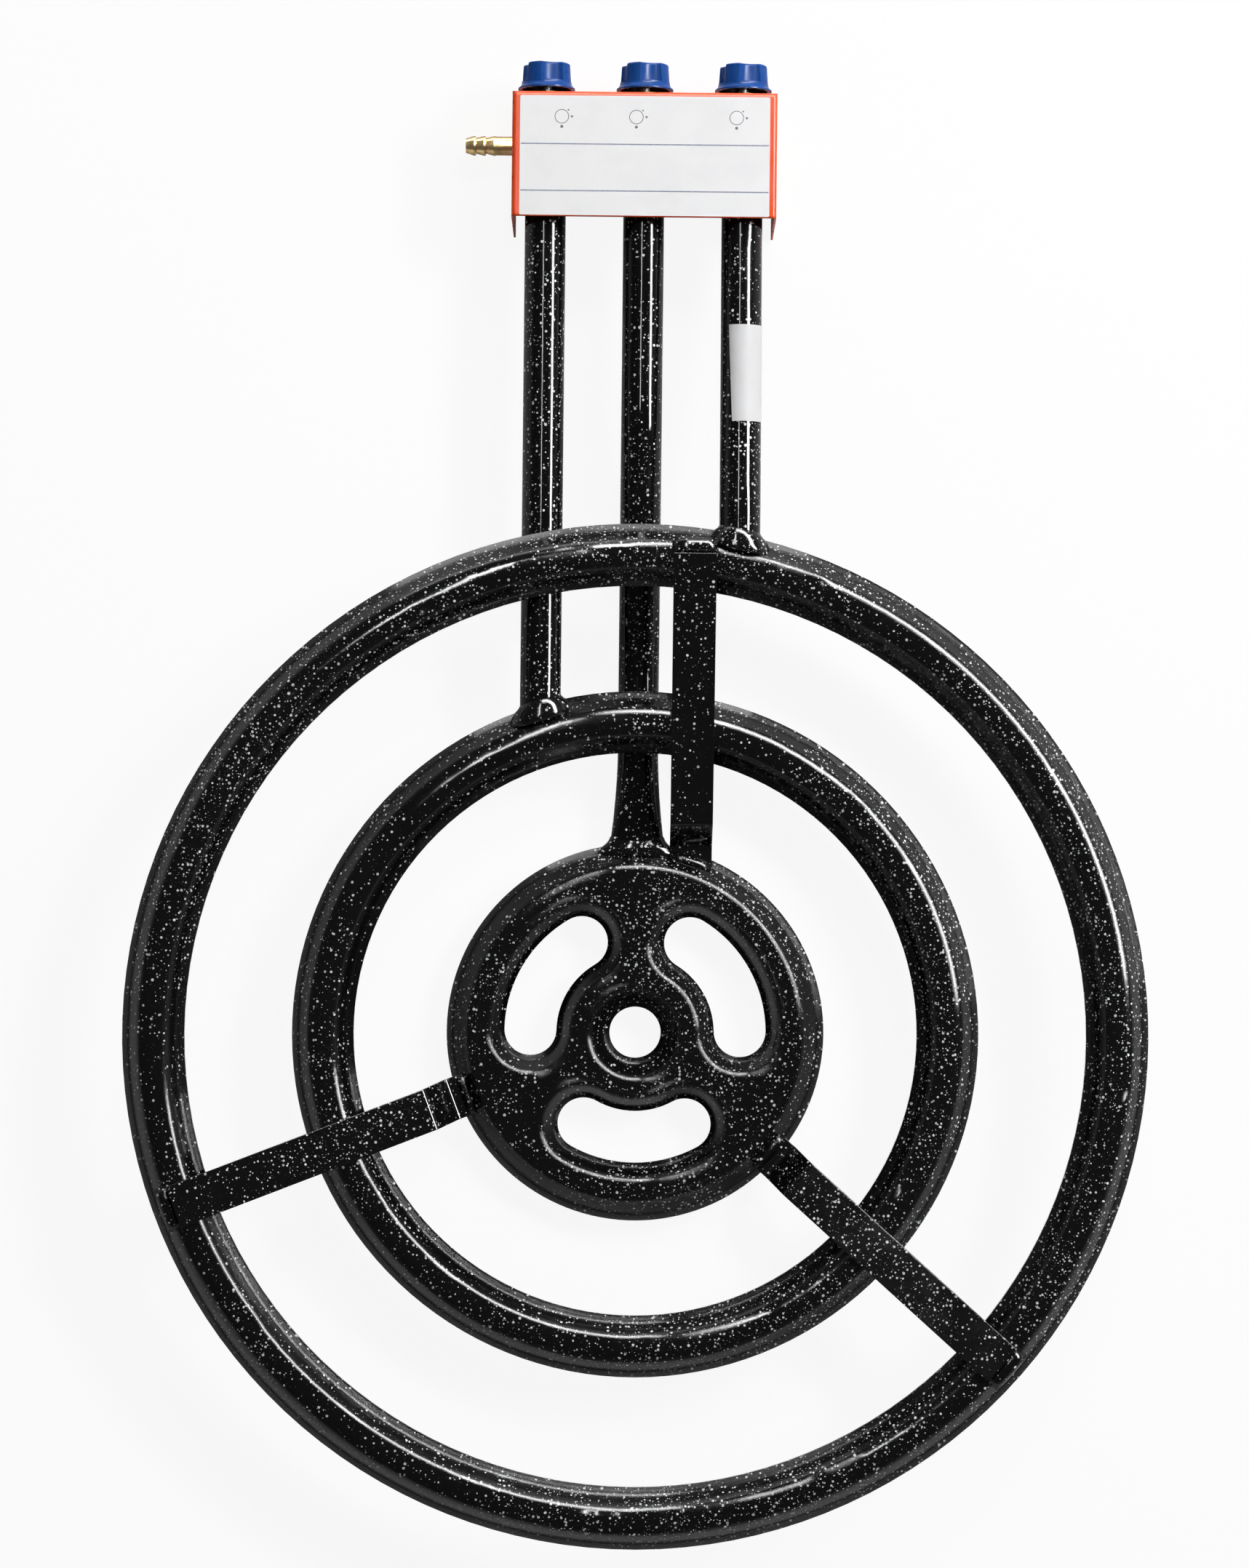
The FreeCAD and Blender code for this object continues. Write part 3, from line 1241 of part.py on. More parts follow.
def build_knob(index, x):
    """Moulded knob: hollow flared skirt, fluted grip and a hub with a flat."""
    label = f"knob_{index}"
    back = D.knob_gap
    front = back + D.knob_length
    skirt = D.knob_skirt_diameter / 2
    grip = D.knob_grip_diameter / 2
    flare = back + D.knob_skirt_flare
    body = new_body(label + "_form")
    corners = [
        (0, back), (skirt, back), (skirt, back + D.knob_skirt_edge), (grip, flare),
        (grip - D.knob_draft, front), (0, front),
    ]
    revolve(draw(new_sketch(body, "XZ_Plane"), corners, {2: (D.knob_flare_radius, -1)}))
    flute = new_sketch(body, "XY_Plane", flare)
    reach = grip + D.knob_flute_diameter / 2 - D.knob_flute_depth
    draw_circle(flute, reach * cosine(D.knob_flute_turn), reach * sine(D.knob_flute_turn),
                D.knob_flute_diameter / 2)
    repeat_round(pocket(flute, D.knob_length, backwards=True), D.knob_flute_count)
    fillet_edges(body, D.knob_edge_radius, lambda edge: level_edge(edge, front))
    hollow = new_sketch(body, "XY_Plane", back)
    draw_circle(hollow, 0, 0, grip - D.knob_flute_depth - D.knob_wall)
    draw_circle(hollow, 0, 0, D.knob_hub_diameter / 2)
    pocket(hollow, D.knob_length - D.knob_wall, backwards=True)
    recess = draw_circle(new_sketch(body, "XY_Plane", back), 0, 0, skirt - D.knob_wall)
    pocket(recess, D.knob_recess_depth, backwards=True)
    bore = new_sketch(body, "XY_Plane", back)
    hole = D.spindle_diameter / 2 + D.running_fit
    flat = D.spindle_diameter / 2 - D.spindle_flat + D.running_fit
    half = root_of(hole * hole - flat * flat)
    draw(bore, [(half, flat), (-half, flat), (0, -hole)],
         {1: (hole, 1), 2: (hole, 1)})
    pocket(bore, D.spindle_insert + D.face_gap, backwards=True)
    node(at_tap(body, x), label)


def build_taps():
    for index, x in enumerate(TAP_PLACES, start=1):
        build_tap_body(index, x)
        build_bonnet(index, x)
        build_nut(index, x)
        build_cone(index, x)
        build_spindle(index, x)
        build_spring(index, x)
        build_injector(index, x)
        build_gasket(index, x)
        build_knob(index, x)


def check_and_export():
    """Stop on any failed feature or bad solid, then write one STEP file per sub-part."""
    DOC.recompute()
    failed = [item.Label for item in DOC.Objects
              if "Invalid" in item.State or "Error" in item.State]
    if failed:
        raise SystemExit(f"failed features: {failed}")
    os.makedirs("parts", exist_ok=True)
    for item in NODES:
        shape = item.Shape
        if shape.isNull() or not shape.isValid() or not shape.Solids:
            raise SystemExit(f"bad solid: {item.Label}")
    for item in NODES:
        item.Shape.exportStep(os.path.join("parts", item.Label + ".step"))
        print(item.Label, len(item.Shape.Solids), round(item.Shape.Volume, 1))


build_ring("outer_ring", OUTER_RADIUS, OUTER_SEAM, D.outer_port_count, D.tube_spacing)
build_ring("middle_ring", MIDDLE_RADIUS, MIDDLE_SEAM, D.middle_port_count, -D.tube_spacing)
build_disc()
build_tubes()
build_strap("strap_tap_side", D.strap_offset, ZERO)
build_strap("strap_left", ZERO, D.left_strap_angle - 90)
build_strap("strap_right", ZERO, D.right_strap_angle - 90)
build_cover()
build_bracket()
build_manifold()
build_hose_barb()
build_end_plug()
build_taps()
build_screws()
check_and_export()
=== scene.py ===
"""Looks of the paella burner: speckled enamel, painted tap box, welds, bare labels and studio."""

import json
import logging
import math
from dataclasses import dataclass
from enum import Enum

import bpy
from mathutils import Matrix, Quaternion, Vector

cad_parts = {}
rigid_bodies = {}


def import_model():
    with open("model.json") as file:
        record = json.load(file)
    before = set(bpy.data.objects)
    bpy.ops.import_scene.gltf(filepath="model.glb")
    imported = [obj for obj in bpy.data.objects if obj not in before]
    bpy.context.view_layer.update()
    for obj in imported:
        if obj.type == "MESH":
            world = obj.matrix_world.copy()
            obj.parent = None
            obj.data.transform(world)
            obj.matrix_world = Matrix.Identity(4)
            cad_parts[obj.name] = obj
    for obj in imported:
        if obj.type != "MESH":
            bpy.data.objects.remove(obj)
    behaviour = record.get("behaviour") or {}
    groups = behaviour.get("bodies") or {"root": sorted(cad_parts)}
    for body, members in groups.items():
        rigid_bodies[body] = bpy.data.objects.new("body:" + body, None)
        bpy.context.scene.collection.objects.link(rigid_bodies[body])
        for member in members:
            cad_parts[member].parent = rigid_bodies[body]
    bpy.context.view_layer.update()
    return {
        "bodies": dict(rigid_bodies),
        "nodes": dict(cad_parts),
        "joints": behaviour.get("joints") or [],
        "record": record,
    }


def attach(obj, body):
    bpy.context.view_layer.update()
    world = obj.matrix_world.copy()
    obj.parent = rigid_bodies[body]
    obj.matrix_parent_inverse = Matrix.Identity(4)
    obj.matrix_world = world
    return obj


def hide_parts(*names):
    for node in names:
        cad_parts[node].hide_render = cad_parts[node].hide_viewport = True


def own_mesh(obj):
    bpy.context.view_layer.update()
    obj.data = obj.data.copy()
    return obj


LOG = logging.getLogger("paella_burner")
MM = 0.001

RING_CENTRE_Y = -135.9 * MM
BOX_FRONT_Y = 416.6 * MM
BOX_TOP_Z = 58.0 * MM
BURNER = "burner"
TAPS = (1, 2, 3)
COAT_SAMPLES = 24
EDGE_SAMPLES = 4


class Slot(Enum):
    """Material slots of the record that the burner's pieces take their finish from."""

    ENAMEL = "enamel"
    ORANGE_PAINT = "orange_paint"
    ZINC = "zinc_plated_steel"
    BRASS = "brass"
    RUBBER = "gasket_rubber"
    SPRING = "spring_steel"
    SPINDLE = "spindle_steel"
    KNOB = "knob_plastic"


Colour = tuple[float, float, float, float]


def deselect_all() -> None:
    """Leaves nothing selected, so that the next operator acts on its own piece alone."""
    if bpy.context.object and bpy.context.object.mode != "OBJECT":
        bpy.ops.object.mode_set(mode="OBJECT")
    bpy.ops.object.select_all(action="DESELECT")


def name_new_piece(name: str) -> bpy.types.Object:
    """Names the primitive just added and puts its place into its mesh.

    Args:
        name: Name of the piece and of its mesh.

    Returns:
        The object, unturned and unscaled at the origin.
    """
    piece = bpy.context.object
    piece.name = name
    piece.data.name = name
    bpy.ops.object.transform_apply(location=True, rotation=True, scale=True)
    return piece


def open_for_editing(piece: bpy.types.Object) -> None:
    """Enters edit mode on one piece with all of it selected.

    Args:
        piece: The piece to edit.
    """
    deselect_all()
    piece.select_set(True)
    bpy.context.view_layer.objects.active = piece
    bpy.ops.object.mode_set(mode="EDIT")
    bpy.ops.mesh.select_all(action="SELECT")


def close_editing() -> None:
    """Goes back to object mode."""
    bpy.ops.object.mode_set(mode="OBJECT")


def make_outward(piece: bpy.types.Object) -> None:
    """Merges doubled points and turns all faces outwards.

    Args:
        piece: The closed piece.
    """
    open_for_editing(piece)
    bpy.ops.mesh.remove_doubles(threshold=0.005 * MM)
    bpy.ops.mesh.normals_make_consistent(inside=False)
    close_editing()


def round_off(piece: bpy.types.Object, levels: int) -> None:
    """Applies a subdivision surface and smooth shading.

    Args:
        piece: The piece to round.
        levels: Subdivision levels, the same for view and render.
    """
    smooth = piece.modifiers.new("rounding", "SUBSURF")
    smooth.levels = levels
    smooth.render_levels = levels
    deselect_all()
    piece.select_set(True)
    bpy.context.view_layer.objects.active = piece
    bpy.ops.object.modifier_apply(modifier=smooth.name)
    bpy.ops.object.shade_smooth()


class NodeTable:
    """Short way to add and join shader nodes in one tree."""

    def __init__(self, tree: bpy.types.NodeTree) -> None:
        """Keeps the tree and clears what it holds."""
        self.tree = tree
        tree.nodes.clear()

    def add(self, kind: str, **settings: object) -> bpy.types.Node:
        """Adds a node.

        Args:
            kind: Blender's node type, such as ShaderNodeMath.
            **settings: Attributes of the node to set.

        Returns:
            The new node.
        """
        node = self.tree.nodes.new(kind)
        for key, value in settings.items():
            setattr(node, key, value)
        return node

    def feed(self, node: bpy.types.Node, socket: str | int, source: object) -> None:
        """Links an output to an input, or sets the input's own value.

        Args:
            node: Node that is fed.
            socket: Name or number of its input.
            source: An output socket, or a plain value.
        """
        if isinstance(source, bpy.types.NodeSocket):
            self.tree.links.new(source, node.inputs[socket])
        else:
            node.inputs[socket].default_value = source

    def math(self, operation: str, *values: object, clamp: bool = False) -> bpy.types.NodeSocket:
        """Adds a Math node.

        Args:
            operation: Its operation.
            *values: Its inputs, outputs of other nodes or numbers.
            clamp: Whether the result is kept from 0 to 1.

        Returns:
            Its output.
        """
        node = self.add("ShaderNodeMath", operation=operation, use_clamp=clamp)
        for number, value in enumerate(values):
            self.feed(node, number, value)
        return node.outputs[0]

    def mix_colour(self, share: object, first: object, second: object) -> bpy.types.NodeSocket:
        """Mixes two colours.

        Args:
            share: Share of the second, from 0 to 1.
            first: First colour.
            second: Second colour.

        Returns:
            The mixed colour.
        """
        node = self.add("ShaderNodeMix", data_type="RGBA")
        self.feed(node, 0, share)
        self.feed(node, 6, first)
        self.feed(node, 7, second)
        return node.outputs[2]

    def noise(self, place: object, scale: float, detail: float = 2.0,
              roughness: float = 0.5) -> bpy.types.NodeSocket:
        """Adds a noise texture and returns its value.

        Args:
            place: Output that gives the coordinates.
            scale: Waves per metre.
            detail: Octaves.
            roughness: Weight of the finer octaves.

        Returns:
            The noise value, about 0.5 in the middle.
        """
        node = self.add("ShaderNodeTexNoise")
        self.feed(node, "Vector", place)
        self.feed(node, "Scale", scale)
        self.feed(node, "Detail", detail)
        self.feed(node, "Roughness", roughness)
        return node.outputs[0]

    def range(self, value: object, low: float, high: float, to_low: float,
              to_high: float) -> bpy.types.NodeSocket:
        """Maps a value from one range to another, clamped.

        Args:
            value: The value.
            low: Value that gives to_low.
            high: Value that gives to_high.
            to_low: Result at low.
            to_high: Result at high.

        Returns:
            The mapped value.
        """
        node = self.add("ShaderNodeMapRange")
        for number, item in enumerate((value, low, high, to_low, to_high)):
            self.feed(node, number, item)
        return node.outputs[0]


class SpeckleGroup:
    """Node group that scatters round specks of many sizes over a surface."""

    NAME = "speckle"

    @classmethod
    def get(cls) -> bpy.types.NodeTree:
        """Returns the group, built on first use."""
        return bpy.data.node_groups.get(cls.NAME) or cls.build()

    @classmethod
    def build(cls) -> bpy.types.NodeTree:
        """Builds the group: cells of a Voronoi texture, some of which hold a speck.

        Returns:
            The node group with the outputs Mask and Tone.
        """
        group = bpy.data.node_groups.new(cls.NAME, "ShaderNodeTree")
        face = group.interface
        face.new_socket("Vector", in_out="INPUT", socket_type="NodeSocketVector")
        for name, value in (("Cells", 400.0), ("Speck Radius", 0.0005), ("Density", 0.5),
                            ("Softness", 0.4)):
            socket = face.new_socket(name, in_out="INPUT", socket_type="NodeSocketFloat")
            socket.default_value = value
        face.new_socket("Mask", in_out="OUTPUT", socket_type="NodeSocketFloat")
        face.new_socket("Tone", in_out="OUTPUT", socket_type="NodeSocketFloat")
        table = NodeTable(group)
        inlet = table.add("NodeGroupInput")
        outlet = table.add("NodeGroupOutput")
        cells = table.add("ShaderNodeTexVoronoi")
        table.feed(cells, "Vector", inlet.outputs["Vector"])
        table.feed(cells, "Scale", inlet.outputs["Cells"])
        chance = table.add("ShaderNodeSeparateColor")
        table.feed(chance, 0, cells.outputs["Color"])
        spread = table.math("POWER", chance.outputs[1], 2.2)
        size = table.math("MULTIPLY_ADD", spread, 0.58, 0.42)
        radius = table.math("MULTIPLY", inlet.outputs["Speck Radius"], inlet.outputs["Cells"])
        radius = table.math("MULTIPLY", radius, size)
        inside = table.math("SUBTRACT", radius, cells.outputs["Distance"])
        edge = table.math("MULTIPLY", radius, inlet.outputs["Softness"])
        disc = table.math("DIVIDE", inside, edge, clamp=True)
        present = table.math("LESS_THAN", chance.outputs[0], inlet.outputs["Density"])
        table.feed(outlet, "Mask", table.math("MULTIPLY", disc, present))
        table.feed(outlet, "Tone", table.math("MULTIPLY_ADD", chance.outputs[2], 0.55, 0.45))
        return group


class EdgeWearGroup:
    """Node group that finds the outer edges of a piece and breaks them up."""

    NAME = "edge_wear"

    @classmethod
    def get(cls) -> bpy.types.NodeTree:
        """Returns the group, built on first use."""
        return bpy.data.node_groups.get(cls.NAME) or cls.build()

    @classmethod
    def build(cls) -> bpy.types.NodeTree:
        """Builds the group: rounded normals against the true ones, times a broken noise.

        Returns:
            The node group with the output Wear.
        """
        group = bpy.data.node_groups.new(cls.NAME, "ShaderNodeTree")
        face = group.interface
        face.new_socket("Vector", in_out="INPUT", socket_type="NodeSocketVector")
        amount = face.new_socket("Amount", in_out="INPUT", socket_type="NodeSocketFloat")
        amount.default_value = 0.5
        face.new_socket("Wear", in_out="OUTPUT", socket_type="NodeSocketFloat")
        table = NodeTable(group)
        inlet = table.add("NodeGroupInput")
        outlet = table.add("NodeGroupOutput")
        rounded = table.add("ShaderNodeBevel", samples=EDGE_SAMPLES)
        table.feed(rounded, "Radius", 0.6 * MM)
        true = table.add("ShaderNodeNewGeometry")
        match = table.add("ShaderNodeVectorMath", operation="DOT_PRODUCT")
        table.feed(match, 0, rounded.outputs[0])
        table.feed(match, 1, true.outputs["Normal"])
        edge = table.range(match.outputs["Value"], 0.99, 0.85, 0.0, 1.0)
        patches = table.noise(inlet.outputs["Vector"], 420.0, 3.0)
        broken = table.range(patches, 0.42, 0.62, 0.0, 1.0)
        wear = table.math("MULTIPLY", edge, broken)
        wear = table.math("MULTIPLY", wear, inlet.outputs["Amount"], clamp=True)
        table.feed(outlet, "Wear", wear)
        return group


def use_group(table: NodeTable, group: bpy.types.NodeTree, **values: object) -> bpy.types.Node:
    """Places a node group in a material.

    Args:
        table: The material's nodes.
        group: The group to place.
        **values: Its inputs by name, with _ for a space.

    Returns:
        The group node.
    """
    node = table.add("ShaderNodeGroup", node_tree=group)
    for key, value in values.items():
        table.feed(node, key.replace("_", " "), value)
    return node


@dataclass(frozen=True)
class Finish:
    """A finish: what all materials of the burner share."""

    name: str

    def build(self) -> bpy.types.Material:
        """Makes the material.

        Returns:
            The material, dressed by the finish.
        """
        material = bpy.data.materials.new(self.name)
        material.use_nodes = True
        table = NodeTable(material.node_tree)
        shader = table.add("ShaderNodeBsdfPrincipled")
        outlet = table.add("ShaderNodeOutputMaterial")
        table.feed(outlet, "Surface", shader.outputs[0])
        place = table.add("ShaderNodeTexCoord").outputs["Object"]
        self.dress(table, shader, place)
        return material

    def dress(self, table: NodeTable, shader: bpy.types.Node,
              place: bpy.types.NodeSocket) -> None:
        """Feeds the shader; each finish has its own.

        Args:
            table: The material's nodes.
            shader: The Principled BSDF.
            place: Object coordinates.
        """
        raise NotImplementedError

    def bump(self, table: NodeTable, shader: bpy.types.Node, height: object, depth: float,
             strength: float = 1.0, rounding: float = 0.0) -> None:
        """Feeds the shader's normal from a height.

        Args:
            table: The material's nodes.
            shader: The Principled BSDF.
            height: Output that gives the height, about 0 to 1.
            depth: Height of 1 in metres.
            strength: Share of the effect.
            rounding: Radius to which a thick coat rounds off edges, 0 for none.
        """
        node = table.add("ShaderNodeBump")
        if rounding:
            coat = table.add("ShaderNodeBevel", samples=COAT_SAMPLES)
            table.feed(coat, "Radius", rounding)
            table.feed(node, "Normal", coat.outputs[0])
        table.feed(node, "Height", height)
        table.feed(node, "Distance", depth)
        table.feed(node, "Strength", strength)
        table.feed(shader, "Normal", node.outputs[0])


@dataclass(frozen=True)
class SpeckSize:
    """Specks of one size: cells per metre, radius, share of the density, softness of the edge."""

    cells: float
    radius: float
    share: float
    softness: float


@dataclass(frozen=True)
class SpeckledEnamel(Finish):
    """Black vitreous enamel with sprayed white specks, glossy and slightly wavy."""

    glaze: Colour = (0.0022, 0.0023, 0.0026, 1.0)
    thin_glaze: Colour = (0.0052, 0.0050, 0.0048, 1.0)
    speck: Colour = (0.86, 0.88, 0.88, 1.0)
    dust: Colour = (0.16, 0.17, 0.17, 1.0)
    density: float = 1.5
    rounding: float = 6.0 * MM
    gloss: float = 0.3
    large: SpeckSize = SpeckSize(400.0, 0.98 * MM, 1.0, 0.22)
    middle: SpeckSize = SpeckSize(640.0, 0.48 * MM, 0.6, 0.35)
    fine: SpeckSize = SpeckSize(1100.0, 0.24 * MM, 0.5, 0.6)
    drift_waves: float = 9.0
    patch_waves: float = 34.0
    run_waves: float = 62.0
    peel_waves: float = 330.0
    peel_share: float = 0.14
    speck_height: float = 0.12
    speck_roughness: float = 0.18
    coat_depth: float = 0.11 * MM

    def scatter(self, table: NodeTable, place: bpy.types.NodeSocket,
                share: bpy.types.NodeSocket, size: SpeckSize) -> bpy.types.Node:
        """Scatters specks of one size.

        Args:
            table: The material's nodes.
            place: Object coordinates.
            share: Output that gives the density over the surface.
            size: The specks' size.

        Returns:
            The group node with its Mask and Tone.
        """
        density = table.math("MULTIPLY", share, size.share)
        return use_group(table, SpeckleGroup.get(), Vector=place, Cells=size.cells,
                         Speck_Radius=size.radius, Density=density, Softness=size.softness)

    def dress(self, table: NodeTable, shader: bpy.types.Node,
              place: bpy.types.NodeSocket) -> None:
        """Specks of three sizes in drifts over a glaze of uneven thickness.

        Args:
            table: The material's nodes.
            shader: The Principled BSDF.
            place: Object coordinates.
        """
        drift = table.range(table.noise(place, self.drift_waves, 2.0), 0.36, 0.66, 0.35, 1.0)
        patch = table.range(table.noise(place, self.patch_waves, 1.0), 0.35, 0.65, 0.5, 1.0)
        spray = table.math("MULTIPLY", drift, patch)
        share = table.math("MULTIPLY", spray, self.density)
        large = self.scatter(table, place, share, self.large)
        middle = self.scatter(table, place, share, self.middle)
        fine = self.scatter(table, place, share, self.fine)
        cloud = table.noise(place, 60.0, 3.0)
        base = table.mix_colour(cloud, self.glaze, self.thin_glaze)
        base = table.mix_colour(fine.outputs["Mask"], base, self.dust)
        seen_middle = table.math("MULTIPLY", middle.outputs["Mask"], middle.outputs["Tone"])
        base = table.mix_colour(seen_middle, base, self.speck)
        seen_large = table.math("MULTIPLY", large.outputs["Mask"], large.outputs["Tone"])
        base = table.mix_colour(seen_large, base, self.speck)
        table.feed(shader, "Base Color", base)
        specks = table.math("MAXIMUM", middle.outputs["Mask"], large.outputs["Mask"])
        smear = table.range(table.noise(place, 25.0, 3.0), 0.3, 0.7, 0.05, 0.12)
        rough = table.math("MULTIPLY_ADD", specks, self.speck_roughness, smear)
        table.feed(shader, "Roughness", rough)
        run = table.noise(place, self.run_waves, 2.0, 0.35)
        peel = table.math("MULTIPLY_ADD", table.noise(place, self.peel_waves, 1.0),
                          self.peel_share, run)
        height = table.math("MULTIPLY_ADD", specks, self.speck_height, peel)
        self.bump(table, shader, height, self.coat_depth, rounding=self.rounding)
        shader.inputs["IOR"].default_value = 1.5
        shader.inputs["Specular IOR Level"].default_value = self.gloss


@dataclass(frozen=True)
class BoxPaint(Finish):
    """Orange-red baked paint of the tap box, rubbed thin along its folds."""

    paint: Colour = (0.90, 0.088, 0.012, 1.0)
    deep: Colour = (0.72, 0.062, 0.010, 1.0)
    bare: Colour = (0.20, 0.17, 0.15, 1.0)

    def dress(self, table: NodeTable, shader: bpy.types.Node,
              place: bpy.types.NodeSocket) -> None:
        """Clouded paint with fine orange peel, handling marks and worn edges.

        Args:
            table: The material's nodes.
            shader: The Principled BSDF.
            place: Object coordinates.
        """
        cloud = table.range(table.noise(place, 22.0, 4.0, 0.6), 0.3, 0.75, 0.0, 0.55)
        base = table.mix_colour(cloud, self.paint, self.deep)
        wear = use_group(table, EdgeWearGroup.get(), Vector=place, Amount=0.75)
        chips = use_group(table, SpeckleGroup.get(), Vector=place, Cells=260.0,
                          Speck_Radius=0.5 * MM, Density=0.05, Softness=0.25)
        gone = table.math("MAXIMUM", wear.outputs["Wear"], chips.outputs["Mask"])
        table.feed(shader, "Base Color", table.mix_colour(gone, base, self.bare))
        rub = table.range(table.noise(place, 70.0, 3.0), 0.35, 0.7, 0.26, 0.40)
        table.feed(shader, "Roughness", rub)
        peel = table.math("MULTIPLY_ADD", table.noise(place, 260.0, 1.0), 0.3,
                          table.noise(place, 750.0, 2.0))
        self.bump(table, shader, table.math("SUBTRACT", peel, gone), 0.05 * MM,
                  rounding=2.6 * MM)
        shader.inputs["Specular IOR Level"].default_value = 0.2


@dataclass(frozen=True)
class KnobPlastic(Finish):
    """Blue semi-gloss plastic of the knobs, polished where fingers hold it."""

    blue: Colour = (0.007, 0.062, 0.275, 1.0)
    dark: Colour = (0.005, 0.045, 0.205, 1.0)
    rubbed: Colour = (0.030, 0.115, 0.360, 1.0)
    # Near-black painted shade for the hollow back of each knob.
    hollow_shade: Colour = (0.006, 0.006, 0.007, 1.0)
    spacing: float = 58.0 * MM
    axis_z: float = 35.0 * MM
    hollow_shade_radius: float = 14.45 * MM
    hollow_shade_front: float = BOX_FRONT_Y + 7.2 * MM

    def hollow_shade_share(self, table: NodeTable, place: bpy.types.NodeSocket) -> bpy.types.NodeSocket:
        """Finds the hollow back of a knob, which is painted near-black as shade.

        Args:
            table: The material's nodes.
            place: Object coordinates.

        Returns:
            1 in the hollow and 0 elsewhere.
        """
        split = table.add("ShaderNodeSeparateXYZ")
        table.feed(split, 0, place)
        across = table.math("WRAP", split.outputs["X"], self.spacing / 2, -self.spacing / 2)
        up = table.math("SUBTRACT", split.outputs["Z"], self.axis_z)
        square = table.math("MULTIPLY_ADD", up, up, table.math("MULTIPLY", across, across))
        within = table.math("LESS_THAN", square, self.hollow_shade_radius ** 2)
        behind = table.math("LESS_THAN", split.outputs["Y"], self.hollow_shade_front)
        return table.math("MULTIPLY", within, behind)

    def dress(self, table: NodeTable, shader: bpy.types.Node,
              place: bpy.types.NodeSocket) -> None:
        """Slight flow marks, fine moulded grain, rubbed edges and painted shade in the hollow
        back.

        Args:
            table: The material's nodes.
            shader: The Principled BSDF.
            place: Object coordinates.
        """
        flow = table.range(table.noise(place, 55.0, 3.0), 0.3, 0.7, 0.0, 0.6)
        base = table.mix_colour(flow, self.blue, self.dark)
        wear = use_group(table, EdgeWearGroup.get(), Vector=place, Amount=0.4)
        base = table.mix_colour(wear.outputs["Wear"], base, self.rubbed)
        # Painted shade: the hollow back of each knob is coloured near-black.
        base = table.mix_colour(self.hollow_shade_share(table, place), base, self.hollow_shade)
        table.feed(shader, "Base Color", base)
        polish = table.range(table.noise(place, 120.0, 2.0), 0.35, 0.7, 0.24, 0.38)
        table.feed(shader, "Roughness", polish)
        grain = table.math("MULTIPLY_ADD", table.noise(place, 2600.0, 2.0), 0.35,
                           table.noise(place, 140.0, 1.0))
        self.bump(table, shader, grain, 0.03 * MM)
        shader.inputs["IOR"].default_value = 1.5
        shader.inputs["Specular IOR Level"].default_value = 0.09


@dataclass(frozen=True)
class TurnedMetal(Finish):
    """Bare metal turned or drawn, with tool lines and dull patches."""

    metal: Colour = (0.80, 0.60, 0.28, 1.0)
    dull: Colour = (0.42, 0.31, 0.15, 1.0)
    line_axis: str = "X"
    lines_per_metre: float = 1500.0
    shine: float = 0.22
    dullness: float = 0.42

    def dress(self, table: NodeTable, shader: bpy.types.Node,
              place: bpy.types.NodeSocket) -> None:
        """Tool lines across one axis over clouded tarnish.

        Args:
            table: The material's nodes.
            shader: The Principled BSDF.
            place: Object coordinates.
        """
        lines = table.add("ShaderNodeTexWave", wave_type="BANDS", bands_direction=self.line_axis)
        table.feed(lines, "Vector", place)
        table.feed(lines, "Scale", self.lines_per_metre / 6.0)
        table.feed(lines, "Distortion", 1.5)
        table.feed(lines, "Detail", 2.0)
        cloud = table.range(table.noise(place, 90.0, 4.0, 0.6), 0.42, 0.72, 0.0, 0.8)
        spots = use_group(table, SpeckleGroup.get(), Vector=place, Cells=520.0,
                          Speck_Radius=0.5 * MM, Density=0.12, Softness=0.9)
        tarnish = table.math("MAXIMUM", cloud, spots.outputs["Mask"])
        table.feed(shader, "Base Color", table.mix_colour(tarnish, self.metal, self.dull))
        table.feed(shader, "Roughness", table.range(tarnish, 0.0, 1.0, self.shine, self.dullness))
        self.bump(table, shader, lines.outputs["Fac"], 0.02 * MM, 0.6)
        shader.inputs["Metallic"].default_value = 1.0


@dataclass(frozen=True)
class ZincPlate(Finish):
    """Zinc plating: pale grey, clouded, with bluish and straw patches."""

    zinc: Colour = (0.56, 0.57, 0.59, 1.0)
    straw: Colour = (0.52, 0.49, 0.40, 1.0)
    rust: Colour = (0.10, 0.045, 0.02, 1.0)

    def dress(self, table: NodeTable, shader: bpy.types.Node,
              place: bpy.types.NodeSocket) -> None:
        """Crystal patches, straw clouds and a few rust specks.

        Args:
            table: The material's nodes.
            shader: The Principled BSDF.
            place: Object coordinates.
        """
        crystals = table.add("ShaderNodeTexVoronoi")
        table.feed(crystals, "Vector", place)
        table.feed(crystals, "Scale", 260.0)
        patch = table.add("ShaderNodeSeparateColor")
        table.feed(patch, 0, crystals.outputs["Color"])
        cloud = table.range(table.noise(place, 45.0, 4.0), 0.35, 0.7, 0.0, 0.8)
        base = table.mix_colour(cloud, self.zinc, self.straw)
        specks = use_group(table, SpeckleGroup.get(), Vector=place, Cells=330.0,
                           Speck_Radius=0.45 * MM, Density=0.08, Softness=0.6)
        table.feed(shader, "Base Color", table.mix_colour(specks.outputs["Mask"], base, self.rust))
        table.feed(shader, "Roughness", table.range(patch.outputs[0], 0.0, 1.0, 0.28, 0.44))
        table.feed(shader, "Metallic", table.math("SUBTRACT", 1.0, specks.outputs["Mask"]))
        self.bump(table, shader, table.noise(place, 800.0, 2.0), 0.02 * MM, 0.5)


